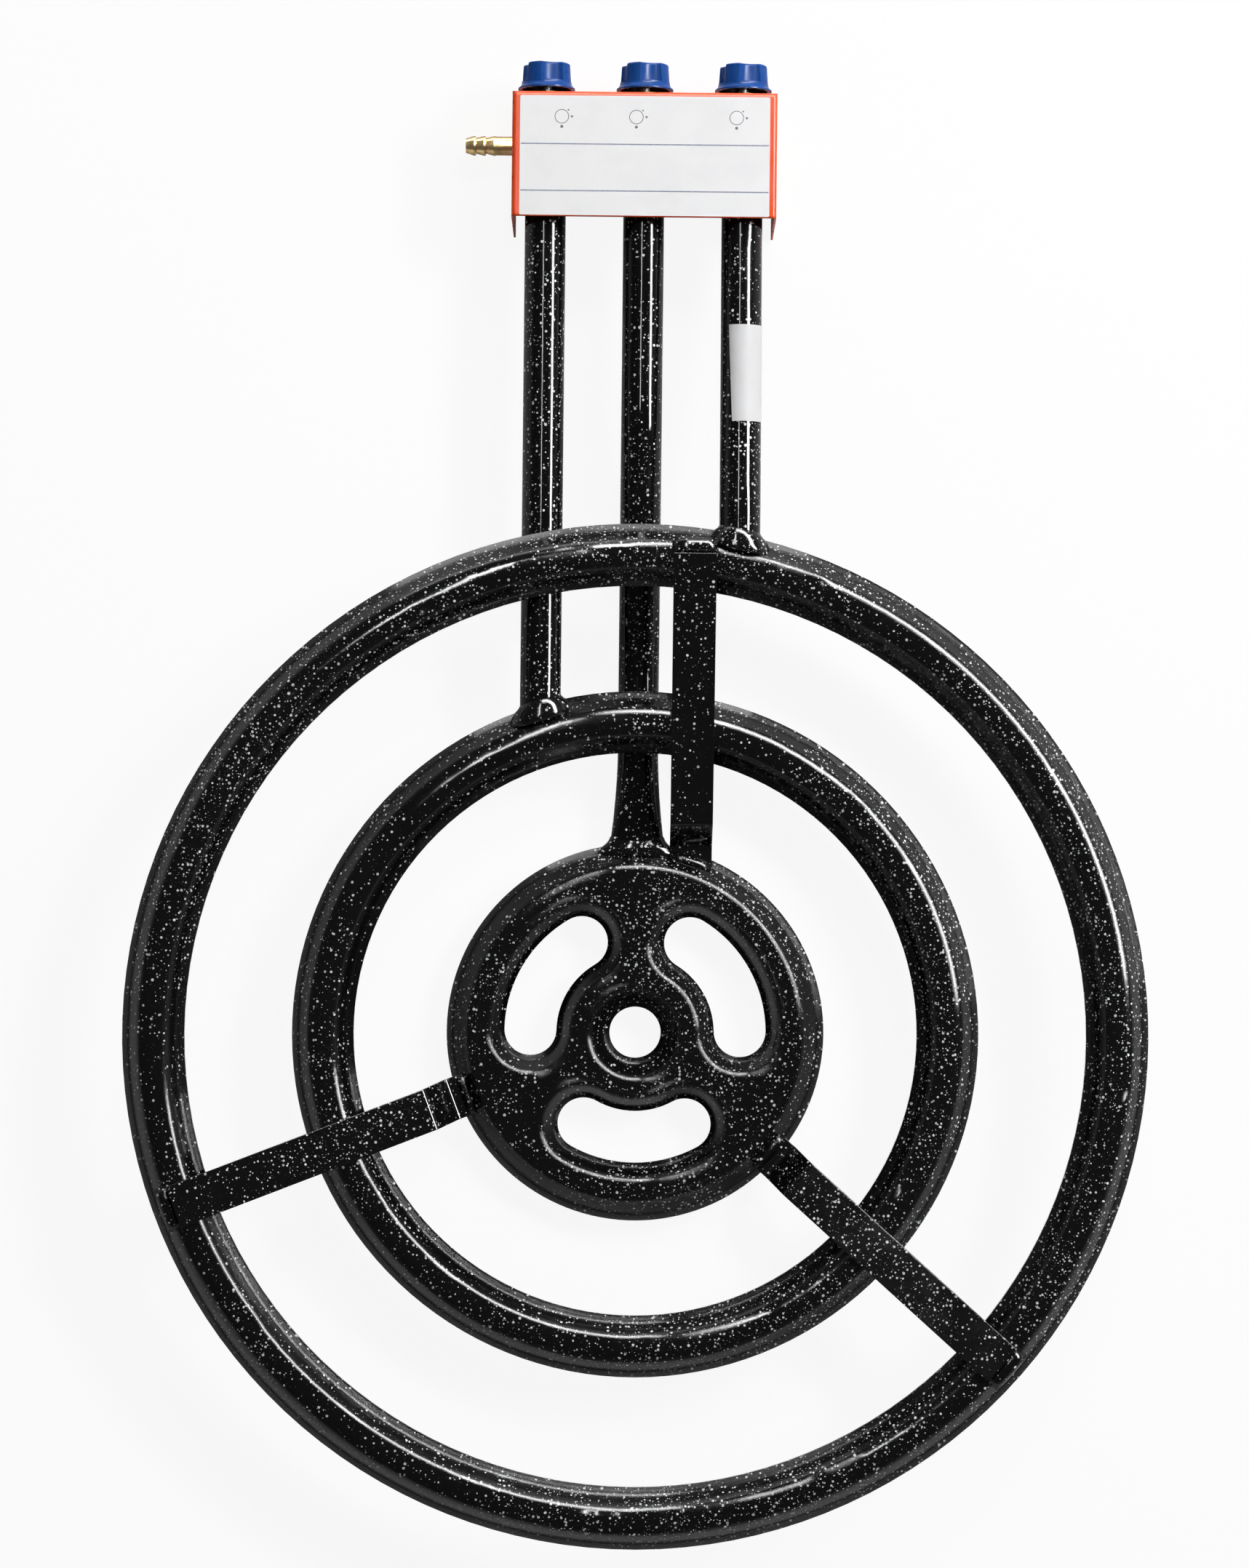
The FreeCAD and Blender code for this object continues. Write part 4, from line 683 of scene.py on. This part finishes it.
@dataclass(frozen=True)
class GasketRubber(Finish):
    """Matte black rubber of the gaskets."""

    rubber: Colour = (0.018, 0.018, 0.019, 1.0)
    bloom: Colour = (0.060, 0.058, 0.055, 1.0)

    def dress(self, table: NodeTable, shader: bpy.types.Node,
              place: bpy.types.NodeSocket) -> None:
        """Dusty bloom over fine grain.

        Args:
            table: The material's nodes.
            shader: The Principled BSDF.
            place: Object coordinates.
        """
        cloud = table.range(table.noise(place, 160.0, 4.0), 0.4, 0.7, 0.0, 0.8)
        table.feed(shader, "Base Color", table.mix_colour(cloud, self.rubber, self.bloom))
        table.feed(shader, "Roughness", table.range(cloud, 0.0, 1.0, 0.62, 0.85))
        self.bump(table, shader, table.noise(place, 1800.0, 2.0), 0.03 * MM, 0.6)


@dataclass(frozen=True)
class LabelPaper(Finish):
    """White vinyl label with faint fibres, handling marks and soft waves."""

    paper: Colour = (0.785, 0.785, 0.795, 1.0)
    soiled: Colour = (0.65, 0.65, 0.66, 1.0)
    gloss: float = 0.3

    def dress(self, table: NodeTable, shader: bpy.types.Node,
              place: bpy.types.NodeSocket) -> None:
        """Pale clouds and a satin face that isn't quite flat.

        Args:
            table: The material's nodes.
            shader: The Principled BSDF.
            place: Object coordinates.
        """
        cloud = table.range(table.noise(place, 38.0, 5.0, 0.65), 0.45, 0.85, 0.0, 0.5)
        dust = use_group(table, SpeckleGroup.get(), Vector=place, Cells=300.0,
                         Speck_Radius=0.35 * MM, Density=0.04, Softness=0.8)
        marks = table.math("MAXIMUM", cloud, table.math("MULTIPLY", dust.outputs["Mask"], 0.5))
        table.feed(shader, "Base Color", table.mix_colour(marks, self.paper, self.soiled))
        satin = table.range(table.noise(place, 90.0, 2.0), 0.3, 0.7, 0.34, 0.5)
        table.feed(shader, "Roughness", satin)
        waves = table.math("MULTIPLY_ADD", table.noise(place, 1500.0, 2.0), 0.02,
                           table.noise(place, 30.0, 1.0))
        self.bump(table, shader, waves, 0.15 * MM, 0.6)
        shader.inputs["Specular IOR Level"].default_value = self.gloss


@dataclass(frozen=True)
class PrintInk(Finish):
    """Ink of the label's lines and marks, uneven as print on vinyl is."""

    ink: Colour = (0.08, 0.10, 0.17, 1.0)
    thin: Colour = (0.18, 0.21, 0.30, 1.0)

    def dress(self, table: NodeTable, shader: bpy.types.Node,
              place: bpy.types.NodeSocket) -> None:
        """Ink that is thinner in places.

        Args:
            table: The material's nodes.
            shader: The Principled BSDF.
            place: Object coordinates.
        """
        cloud = table.range(table.noise(place, 480.0, 3.0), 0.35, 0.7, 0.0, 1.0)
        table.feed(shader, "Base Color", table.mix_colour(cloud, self.ink, self.thin))
        table.feed(shader, "Roughness", table.range(cloud, 0.0, 1.0, 0.35, 0.5))


class Finishes:
    """All finishes of the burner, built once and found by slot or name."""

    def __init__(self) -> None:
        """Builds every material."""
        self.by_slot = {
            Slot.ENAMEL: SpeckledEnamel("speckled_enamel").build(),
            Slot.ORANGE_PAINT: BoxPaint("box_paint").build(),
            Slot.ZINC: ZincPlate("zinc_plate").build(),
            Slot.BRASS: TurnedMetal("turned_brass").build(),
            Slot.RUBBER: GasketRubber("gasket_rubber").build(),
            Slot.SPRING: TurnedMetal("drawn_wire", metal=(0.50, 0.51, 0.53, 1.0),
                                     dull=(0.22, 0.22, 0.23, 1.0), line_axis="Z",
                                     shine=0.26).build(),
            Slot.SPINDLE: TurnedMetal("turned_steel", metal=(0.62, 0.63, 0.65, 1.0),
                                      dull=(0.35, 0.35, 0.36, 1.0), line_axis="Y",
                                      shine=0.2).build(),
            Slot.KNOB: KnobPlastic("knob_plastic").build(),
        }
        # Painted shade: the panel nuts under the knobs get a near-black copy of brass that stands
        # for the shade they sit in.
        self.shade_darkened_nut = TurnedMetal("shade_darkened_brass", metal=(0.16, 0.11, 0.05, 1.0),
                               dull=(0.05, 0.035, 0.02, 1.0), shine=0.5, dullness=0.7).build()
        self.flat_enamel = SpeckledEnamel("flat_bar_enamel", rounding=0.8 * MM).build()
        self.thin_specks = SpeckledEnamel("sparse_enamel", density=0.6,
                                          rounding=0.8 * MM).build()
        self.tube_enamel = SpeckledEnamel("tube_enamel", rounding=0.0, gloss=0.19).build()
        self.label = LabelPaper("label_vinyl").build()
        # Painted shade: the sticker's white paper is a darker copy of the label's, toned down for
        # the light on the tube.
        self.sticker = LabelPaper("shaded_sticker_paper", paper=(0.62, 0.62, 0.63, 1.0),
                                  soiled=(0.53, 0.53, 0.54, 1.0), gloss=0.06).build()
        self.line_ink = PrintInk("line_ink").build()
        self.mark_ink = PrintInk("mark_ink", ink=(0.025, 0.025, 0.03, 1.0),
                                 thin=(0.08, 0.08, 0.09, 1.0)).build()

    def put_on(self, piece: bpy.types.Object, material: bpy.types.Material) -> None:
        """Gives a piece one material."""
        piece.data.materials.clear()
        piece.data.materials.append(material)


class CarriedOverPieces:
    """CAD nodes whose shape is right: they stay and get their finish."""

    def __init__(self, frame: dict, finishes: Finishes) -> None:
        """Keeps the nodes, their slots and the finishes.

        Args:
            finishes: The burner's finishes.
        """
        self.nodes = frame["nodes"]
        self.slots = {part["node"]: Slot(part["material_slot"])
                      for part in frame["record"]["subparts"]}
        self.finishes = finishes

    def dress(self) -> int:
        """Gives every node its own finish or that of its slot.

        Returns:
            How many nodes there are.
        """
        own = {"strap_left": self.finishes.flat_enamel, "strap_right": self.finishes.flat_enamel,
               "strap_tap_side": self.finishes.thin_specks}
        # Panel nuts take the brass darkened as painted shade.
        for number in TAPS:
            own[f"panel_nut_{number}"] = self.finishes.shade_darkened_nut
        for burner in ("outer", "middle", "centre"):
            own[f"feed_tube_{burner}"] = self.finishes.tube_enamel
        for name, node in self.nodes.items():
            material = own.get(name) or self.finishes.by_slot[self.slots[name]]
            self.finishes.put_on(node, material)
        return len(self.nodes)


Stations = tuple[tuple[float, float, float], ...]

ROUND_TUBE_STATIONS: Stations = (
    (4.2, -0.30, -0.30), (2.6, 0.35, 0.10), (1.4, 1.15, 0.14), (0.5, 2.30, 0.20),
    (-0.2, 3.20, 0.75), (-2.0, 4.60, 0.95), (-5.0, 6.00, 1.15), (-8.0, 7.20, 1.90),
    (-10.5, 8.00, 3.20))
FLAT_TUBE_STATIONS: Stations = (
    (6.2, -0.40, -0.40), (5.0, 0.20, 0.20), (4.2, 0.40, 0.50), (3.4, 0.80, 0.25),
    (2.2, 1.70, 0.20), (1.0, 3.20, 0.70), (-0.4, 5.60, 1.50), (-1.8, 7.60, 1.80),
    (-3.6, 8.90, 1.60), (-5.8, 9.60, 1.20), (-8.0, 9.90, 0.60))


@dataclass
class TubeWeld:
    """Enamelled weld that flares from a feed tube's end over a burner's lip and wall.

    A station holds how far it lies outside the burner's edge, and how far it stands out from
    the tube at the sides and on top, all in millimetres.
    """

    name: str
    x: float
    axis_z: float
    half_width: float
    half_height: float
    edge_radius: float
    stations: Stations = ROUND_TUBE_STATIONS
    points: int = 48
    droop: float = 0.55

    def edge_at(self, x: float) -> float:
        """Y of the burner's outer edge at a sideways place."""
        return RING_CENTRE_Y + math.sqrt(self.edge_radius ** 2 - x ** 2)

    def build(self) -> bpy.types.Object:
        """Extrudes a round loop station by station and bends it to the burner's edge.

        Returns:
            The closed collar.
        """
        deselect_all()
        reach, side, top = self.stations[0]
        width = self.half_width + side * MM
        height = self.half_height + top * MM
        bpy.ops.mesh.primitive_circle_add(
            vertices=self.points, radius=1.0, fill_type="NGON",
            rotation=(math.radians(90), 0, 0), location=(self.x, reach * MM, self.axis_z))
        bpy.context.object.scale = (width, height, 1.0)
        piece = name_new_piece(self.name)
        open_for_editing(piece)
        for along, side, top in self.stations[1:]:
            new_width = self.half_width + side * MM
            new_height = self.half_height + top * MM
            bpy.ops.mesh.extrude_region_move(
                TRANSFORM_OT_translate={"value": (0, (along - reach) * MM, 0)})
            bpy.ops.transform.resize(
                value=(new_width / width, 1, new_height / height),
                center_override=(self.x, along * MM, self.axis_z))
            width = new_width
            height = new_height
            reach = along
        close_editing()
        for point in piece.data.vertices:
            point.co.y += self.edge_at(point.co.x)
            sag = max(0.0, abs((point.co.x - self.x) / self.half_width) - 1.0)
            level = 1.0 - self.droop * min(sag, 1.0)
            point.co.z = self.axis_z + (point.co.z - self.axis_z) * level
        make_outward(piece)
        round_off(piece, 1)
        return piece


@dataclass
class StrapWeld:
    """Weld puddle across a strap's end, drowned in enamel."""

    name: str
    place: tuple[float, float, float]
    angle: float
    length: float = 27.0 * MM
    width: float = 9.5 * MM
    height: float = 4.6 * MM
    tilt: float = 8.0
    cuts: int = 5
    end_roundness: float = 2.4
    side_roundness: float = 6.0
    thinnest: float = 0.12
    waist: float = 0.10
    ripple: float = 0.10
    ripples: float = 9.0

    def build(self) -> bpy.types.Object:
        """Shapes a block into a low bead and turns it across the strap.

        Returns:
            The closed bead.
        """
        deselect_all()
        bpy.ops.mesh.primitive_cube_add(size=1.0, location=(0, 0, 0))
        piece = name_new_piece(self.name)
        open_for_editing(piece)
        bpy.ops.mesh.subdivide(number_cuts=self.cuts)
        close_editing()
        for point in piece.data.vertices:
            x, y, z = point.co * 2.0
            end_swell = math.sqrt(max(0.0, 1.0 - abs(y) ** self.end_roundness))
            side_swell = math.sqrt(max(0.0, 1.0 - abs(x) ** self.side_roundness))
            point.co.z = 0.5 * z * max(end_swell * side_swell, self.thinnest)
            point.co.x = 0.5 * x * (1.0 - self.waist * abs(y) ** 2.0)
            point.co.z *= 1.0 + self.ripple * math.sin(self.ripples * x) if z > 0 else 1.0
        open_for_editing(piece)
        bpy.ops.transform.resize(value=(self.width, self.length, self.height),
                                 center_override=(0, 0, 0))
        close_editing()
        turn_z = math.radians(self.angle)
        lean = math.radians(self.tilt)
        for point in piece.data.vertices:
            along, across, up = point.co
            along, up = (along * math.cos(lean) + up * math.sin(lean),
                         up * math.cos(lean) - along * math.sin(lean))
            point.co = Vector((
                self.place[0] + along * math.cos(turn_z) - across * math.sin(turn_z),
                self.place[1] + along * math.sin(turn_z) + across * math.cos(turn_z),
                self.place[2] + up))
        make_outward(piece)
        round_off(piece, 1)
        return piece


@dataclass
class BoxLabel:
    """Bare white label on the tap box, with two lines and three plain dial marks."""

    left: float = -72.9 * MM
    right: float = 73.3 * MM
    front_gap: float = 2.7 * MM
    depth: float = 69.9 * MM
    gauge: float = 0.14 * MM
    corner: float = 0.9 * MM
    line_gaps: tuple[float, float] = (31.0 * MM, 58.3 * MM)
    line_width: float = 0.7 * MM
    mark_places: tuple[float, float, float] = (-48.5 * MM, -4.9 * MM, 53.7 * MM)
    mark_gap: float = 15.0 * MM
    mark_radius: float = 4.2 * MM
    mark_line: float = 0.42 * MM
    mark_reach: float = 5.9 * MM
    tick_reach: float = 3.8 * MM
    line_margin: float = 0.6 * MM
    ink_gauge: float = 0.03 * MM

    def sheet(self, name: str, x: tuple[float, float], y: tuple[float, float], z: float,
              gauge: float, corner: float) -> bpy.types.Object:
        """A flat sheet with rounded corners.

        Args:
            name: Name of the piece.
            x: Its left and right edge.
            y: Its rear and front edge.
            z: Level of its underside.
            gauge: Its thickness.
            corner: Corner radius, 0 for square corners.

        Returns:
            The closed sheet.
        """
        deselect_all()
        middle = ((x[0] + x[1]) / 2, (y[0] + y[1]) / 2, z)
        bpy.ops.mesh.primitive_plane_add(size=1.0, location=middle)
        bpy.context.object.scale = (x[1] - x[0], y[1] - y[0], 1.0)
        piece = name_new_piece(name)
        open_for_editing(piece)
        if corner:
            bpy.ops.mesh.bevel(offset=corner, segments=4, affect="VERTICES")
        bpy.ops.mesh.extrude_region_move(TRANSFORM_OT_translate={"value": (0, 0, gauge)})
        close_editing()
        make_outward(piece)
        return piece

    def disc(self, name: str, x: float, y: float, z: float, radius: float, points: int,
             hollow: float = 0.0, turn: float = 0.0) -> bpy.types.Object:
        """A flat printed disc, ring or triangle.

        Args:
            name: Name of the piece.
            x: Its middle, sideways.
            y: Its middle, front to back.
            z: Level of its underside.
            radius: Outer radius.
            points: Corners; three make a triangle.
            hollow: Line width of a ring, 0 for a full disc.
            turn: Degrees turned about the middle.

        Returns:
            The closed shape.
        """
        deselect_all()
        bpy.ops.mesh.primitive_circle_add(vertices=points, radius=radius, fill_type="NGON",
                                          location=(x, y, z), rotation=(0, 0, math.radians(turn)))
        piece = name_new_piece(name)
        open_for_editing(piece)
        if hollow:
            bpy.ops.mesh.inset(thickness=hollow)
            bpy.ops.mesh.delete(type="FACE")
            bpy.ops.mesh.select_all(action="SELECT")
        bpy.ops.mesh.extrude_region_move(
            TRANSFORM_OT_translate={"value": (0, 0, self.ink_gauge)})
        close_editing()
        make_outward(piece)
        return piece

    def dial_mark(self, number: int, x: float) -> bpy.types.Object:
        """One generic knob mark: a circle with a dot, an arrowhead and a tick round it.

        Args:
            number: Number of the tap that it belongs to.
            x: Its middle, sideways.

        Returns:
            The mark, joined into one piece.
        """
        y = BOX_FRONT_Y - self.mark_gap
        z = BOX_TOP_Z + self.gauge
        circle = self.disc(f"dial_mark_{number}", x, y, z, self.mark_radius, 64,
                           hollow=self.mark_line)
        dot = self.disc("dot", x, y - self.mark_reach, z, 0.9 * MM, 20)
        arrow = self.disc("arrow", x + self.mark_reach, y, z, 1.05 * MM, 3, turn=60.0)
        tick = self.disc("tick", x + self.tick_reach, y + self.tick_reach, z, 0.6 * MM, 4,
                         turn=10.0)
        deselect_all()
        for piece in (dot, arrow, tick, circle):
            piece.select_set(True)
        bpy.context.view_layer.objects.active = circle
        bpy.ops.object.join()
        return circle

    def build(self, finishes: Finishes) -> list[bpy.types.Object]:
        """Builds the label, its lines and its marks, and dresses them.

        Args:
            finishes: The burner's finishes.

        Returns:
            The pieces.
        """
        front = BOX_FRONT_Y - self.front_gap
        label = self.sheet("box_label", (self.left, self.right), (front - self.depth, front),
                           BOX_TOP_Z, self.gauge, self.corner)
        finishes.put_on(label, finishes.label)
        pieces = [label]
        for number, gap in enumerate(self.line_gaps, 1):
            y = BOX_FRONT_Y - gap
            line = self.sheet(f"label_line_{number}",
                              (self.left + self.line_margin, self.right - self.line_margin),
                              (y - self.line_width / 2, y + self.line_width / 2),
                              BOX_TOP_Z + self.gauge, self.ink_gauge, 0.0)
            finishes.put_on(line, finishes.line_ink)
            pieces.append(line)
        for number, x in enumerate(self.mark_places, 1):
            mark = self.dial_mark(number, x)
            finishes.put_on(mark, finishes.mark_ink)
            pieces.append(mark)
        return pieces


@dataclass
class TubeSticker:
    """Bare white sticker wrapped round the sloping stretch of the large ring's feed tube."""

    x: float = 58.0 * MM
    axis_z: float = 46.38 * MM
    slope: float = -0.1438
    tube_radius: float = 12.0 * MM
    rear: float = 224.4 * MM
    front: float = 281.7 * MM
    from_angle: float = -14.0
    to_angle: float = 122.0
    skew: float = 12.0
    gauge: float = 0.12 * MM

    def build(self, finishes: Finishes) -> bpy.types.Object:
        """Wraps a grid part of the way round the tube and thickens the sheet.

        Args:
            finishes: The burner's finishes.

        Returns:
            The sticker.
        """
        deselect_all()
        bpy.ops.mesh.primitive_grid_add(x_subdivisions=12, y_subdivisions=40, size=1.0,
                                        location=(0, 0, 0))
        piece = name_new_piece("tube_sticker")
        middle = (self.rear + self.front) / 2
        radius = self.tube_radius + 0.03 * MM
        stretch = math.sqrt(1.0 + self.slope ** 2)
        for point in piece.data.vertices:
            along = point.co.x * (self.front - self.rear)
            angle = math.radians(self.from_angle + self.skew * point.co.x
                                 + (self.to_angle - self.from_angle) * (point.co.y + 0.5))
            point.co = (self.x + radius * math.cos(angle), middle + along,
                        self.axis_z + radius * stretch * math.sin(angle) + self.slope * along)
        wall = piece.modifiers.new("wall", "SOLIDIFY")
        wall.thickness = self.gauge
        wall.offset = 1.0
        deselect_all()
        piece.select_set(True)
        bpy.context.view_layer.objects.active = piece
        bpy.ops.object.modifier_apply(modifier=wall.name)
        bpy.ops.object.shade_smooth_by_angle(angle=math.radians(35))
        # The sticker's paper is darkened as painted shade.
        finishes.put_on(piece, finishes.sticker)
        return piece


@dataclass
class ReturnSpring:
    """Return spring of one tap, which the real tap squeezes while its knob is pushed in; here it
    keeps its shape and moves with the cone.
    """

    number: int
    fixed_end_y: float = 405.9 * MM
    travel: float = 3.0 * MM

    def build(self, frame: dict, finishes: Finishes) -> bpy.types.Object:
        """Copies the tap's own spring, merged, and hangs it on the tap's cone.

        Args:
            finishes: The burner's finishes.

        Returns:
            The spring, which stands for the CAD node.
        """
        node = f"tap_spring_{self.number}"
        piece = bpy.data.objects.new(f"return_spring_{self.number}",
                                     frame["nodes"][node].data.copy())
        piece.data.name = piece.name
        bpy.context.scene.collection.objects.link(piece)
        make_outward(piece)
        bpy.ops.object.shade_smooth_by_angle(angle=math.radians(50))
        finishes.put_on(piece, finishes.by_slot[Slot.SPRING])
        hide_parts(node)
        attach(piece, f"cone_{self.number}")
        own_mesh(piece)
        return piece


@dataclass(frozen=True)
class Lamp:
    """One rectangular lamp: where it hangs, its size and what it acts on.

    Azimuth runs from +X towards +Y and tilt from straight overhead, in degrees; twist turns
    the lamp about its own axis.
    """

    name: str
    azimuth: float
    tilt: float
    distance: float
    width: float
    height: float
    watts: float
    twist: float = 0.0
    lights_matt: bool = True
    shows_in_gloss: bool = True


GLOSS_AZIMUTHS = (12.0, 36.0, 60.0, 84.0)
LAMPS = (
    Lamp("key_softbox", 28.0, 50.0, 2.6, 1.1, 0.45, 50.0, shows_in_gloss=False),
    Lamp("rear_softbox", 76.0, 47.0, 2.6, 1.1, 0.3, 22.0, shows_in_gloss=False),
    Lamp("low_strip", 95.0, 84.0, 2.6, 2.6, 0.5, 32.0),
    Lamp("overhead_strip", 114.0, 20.7, 2.78, 0.12, 1.2, 26.0, twist=-24.0, lights_matt=False),
    *(Lamp(f"gloss_strip_{number}", azimuth, 49.0, 2.6, 0.9, 0.5, 105.0, lights_matt=False)
      for number, azimuth in enumerate(GLOSS_AZIMUTHS, 1)),
)


@dataclass
class Studio:
    """Pale floor, soft lamps, white surroundings and the camera above the burner."""

    floor_level: float = -0.3 * MM
    floor_half: float = 12.0
    camera_place: tuple[float, float, float] = (-0.0078, 0.0118, 2.41)
    camera_roll: float = 0.6
    lens: float = 92.4
    background_share: float = 0.91
    floor_in_gloss: float = 0.1
    overhead_gloss: Colour = (0.12, 0.12, 0.13, 1.0)
    fill: Colour = (0.08, 0.08, 0.08, 1.0)
    white: Colour = (1.0, 1.0, 1.0, 1.0)

    def floor(self) -> bpy.types.Object:
        """A large plain floor that the camera sees pale and that keeps the shadow.

        Returns:
            The floor.
        """
        deselect_all()
        bpy.ops.mesh.primitive_plane_add(size=2 * self.floor_half,
                                         location=(0, 0, self.floor_level))
        floor = name_new_piece("studio_floor")
        material = bpy.data.materials.new("floor_card")
        material.use_nodes = True
        table = NodeTable(material.node_tree)
        path = table.add("ShaderNodeLightPath")
        seen = table.math("MAXIMUM", path.outputs["Is Camera Ray"],
                          path.outputs["Is Transmission Ray"])
        seen = table.math("MULTIPLY_ADD", path.outputs["Is Glossy Ray"], self.floor_in_gloss,
                          seen)
        card = table.add("ShaderNodeBsdfDiffuse")
        place = table.add("ShaderNodeTexCoord").outputs["Object"]
        pale = table.mix_colour(table.noise(place, 0.8, 2.0), (0.86, 0.86, 0.86, 1.0),
                                (0.90, 0.90, 0.90, 1.0))
        table.feed(card, "Color", pale)
        glow = table.add("ShaderNodeEmission")
        table.feed(glow, "Color", self.white)
        table.feed(glow, "Strength", 1.0)
        mix = table.add("ShaderNodeMixShader")
        table.feed(mix, 0, table.math("MULTIPLY", seen, self.background_share))
        table.feed(mix, 1, card.outputs[0])
        table.feed(mix, 2, glow.outputs[0])
        outlet = table.add("ShaderNodeOutputMaterial")
        table.feed(outlet, "Surface", mix.outputs[0])
        floor.data.materials.append(material)
        return floor

    def surroundings(self) -> None:
        """White surroundings to the eye, dim overhead in gloss, and a soft fill."""
        world = bpy.data.worlds.new("studio")
        bpy.context.scene.world = world
        world.use_nodes = True
        table = NodeTable(world.node_tree)
        path = table.add("ShaderNodeLightPath")
        direction = table.add("ShaderNodeTexCoord").outputs["Generated"]
        split = table.add("ShaderNodeSeparateXYZ")
        table.feed(split, 0, direction)
        height = table.range(split.outputs["Z"], 0.04, 0.45, 0.0, 1.0)
        gloss = table.mix_colour(height, self.white, self.overhead_gloss)
        colour = table.mix_colour(path.outputs["Is Glossy Ray"], self.fill, gloss)
        plain = table.math("MAXIMUM", path.outputs["Is Camera Ray"],
                           path.outputs["Is Transmission Ray"])
        colour = table.mix_colour(plain, colour, self.white)
        back = table.add("ShaderNodeBackground")
        table.feed(back, "Color", colour)
        table.feed(back, "Strength", 1.0)
        outlet = table.add("ShaderNodeOutputWorld")
        table.feed(outlet, "Surface", back.outputs[0])

    def lamps(self) -> None:
        """Hangs every lamp so that it looks at the burner."""
        for lamp in LAMPS:
            around = math.radians(lamp.azimuth)
            down = math.radians(lamp.tilt)
            light = bpy.data.lights.new(lamp.name, "AREA")
            light.shape = "RECTANGLE"
            light.size = lamp.width
            light.size_y = lamp.height
            light.energy = lamp.watts
            hung = bpy.data.objects.new(lamp.name, light)
            bpy.context.scene.collection.objects.link(hung)
            hung.location = (lamp.distance * math.sin(down) * math.cos(around),
                             lamp.distance * math.sin(down) * math.sin(around),
                             lamp.distance * math.cos(down))
            aim = Vector(hung.location).to_track_quat("Z", "Y")
            own_turn = Quaternion((0, 0, 1), math.radians(lamp.twist))
            hung.rotation_euler = (aim @ own_turn).to_euler()
            hung.visible_diffuse = lamp.lights_matt
            hung.visible_glossy = lamp.shows_in_gloss

    def camera(self) -> None:
        """The camera straight above, turned a little as the photograph is."""
        data = bpy.data.cameras.new("overhead_camera")
        data.lens = self.lens
        data.sensor_width = 36.0
        data.clip_start = 0.05
        data.clip_end = 60.0
        camera = bpy.data.objects.new("overhead_camera", data)
        bpy.context.scene.collection.objects.link(camera)
        camera.location = self.camera_place
        camera.rotation_euler = (0.0, 0.0, math.radians(self.camera_roll))
        bpy.context.scene.camera = camera

    def build(self) -> None:
        """Sets up floor, surroundings, lamps and camera."""
        self.floor()
        self.surroundings()
        self.lamps()
        self.camera()
        bpy.context.scene.view_settings.view_transform = "Standard"


def tube_welds() -> list[TubeWeld]:
    """The three welds where a feed tube enters its burner."""
    tube = 12.0 * MM
    return [
        TubeWeld("weld_outer_tube", 58.0 * MM, 57.1 * MM, tube, tube, 300.0 * MM),
        TubeWeld("weld_middle_tube", -58.0 * MM, 35.0 * MM, tube, tube, 202.5 * MM),
        TubeWeld("weld_centre_tube", 0.0, 12.9 * MM, 16.05 * MM, 5.7 * MM, 112.1 * MM,
                 FLAT_TUBE_STATIONS),
    ]


def strap_welds() -> list[StrapWeld]:
    """The welds across both ends of the straps, on the large ring and on the disc.

    Returns:
        The six welds, not yet built.
    """
    welds = []
    low = 107.3 * MM
    for name, offset, angle, reach in (
            ("tap_side", 32.0 * MM, 90.0, 287.2 * MM),
            ("left", 0.0, 200.7, 289.6 * MM),
            ("right", 0.0, 318.9, 289.6 * MM)):
        turn = math.radians(angle)
        x = reach * math.cos(turn) + offset * math.sin(turn)
        y = reach * math.sin(turn) - offset * math.cos(turn) + RING_CENTRE_Y
        welds.append(StrapWeld(f"weld_strap_{name}", (x, y, 68.0 * MM), angle))
        low_angle = angle - math.degrees(math.asin(offset / low))
        low_turn = math.radians(low_angle)
        place = (low * math.cos(low_turn), low * math.sin(low_turn) + RING_CENTRE_Y, 17.3 * MM)
        welds.append(StrapWeld(f"weld_disc_{name}", place, low_angle, length=26.0 * MM,
                               width=7.5 * MM, height=3.6 * MM, tilt=30.0))
    return welds


def main() -> None:
    """Builds the burner's looks in order and reports each piece."""
    logging.basicConfig(level=logging.INFO, format="%(name)s: %(message)s")
    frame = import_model()
    finishes = Finishes()
    count = CarriedOverPieces(frame, finishes).dress()
    LOG.info("dressed %d CAD pieces", count)
    enamel = finishes.by_slot[Slot.ENAMEL]
    for weld in [*tube_welds(), *strap_welds()]:
        piece = weld.build()
        finishes.put_on(piece, enamel)
        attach(piece, BURNER)
        LOG.info("built %s", piece.name)
    for piece in [*BoxLabel().build(finishes), TubeSticker().build(finishes)]:
        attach(piece, BURNER)
        LOG.info("built %s", piece.name)
    for number in TAPS:
        LOG.info("built %s", ReturnSpring(number).build(frame, finishes).name)
    Studio().build()


if __name__ == "__main__":
    main()
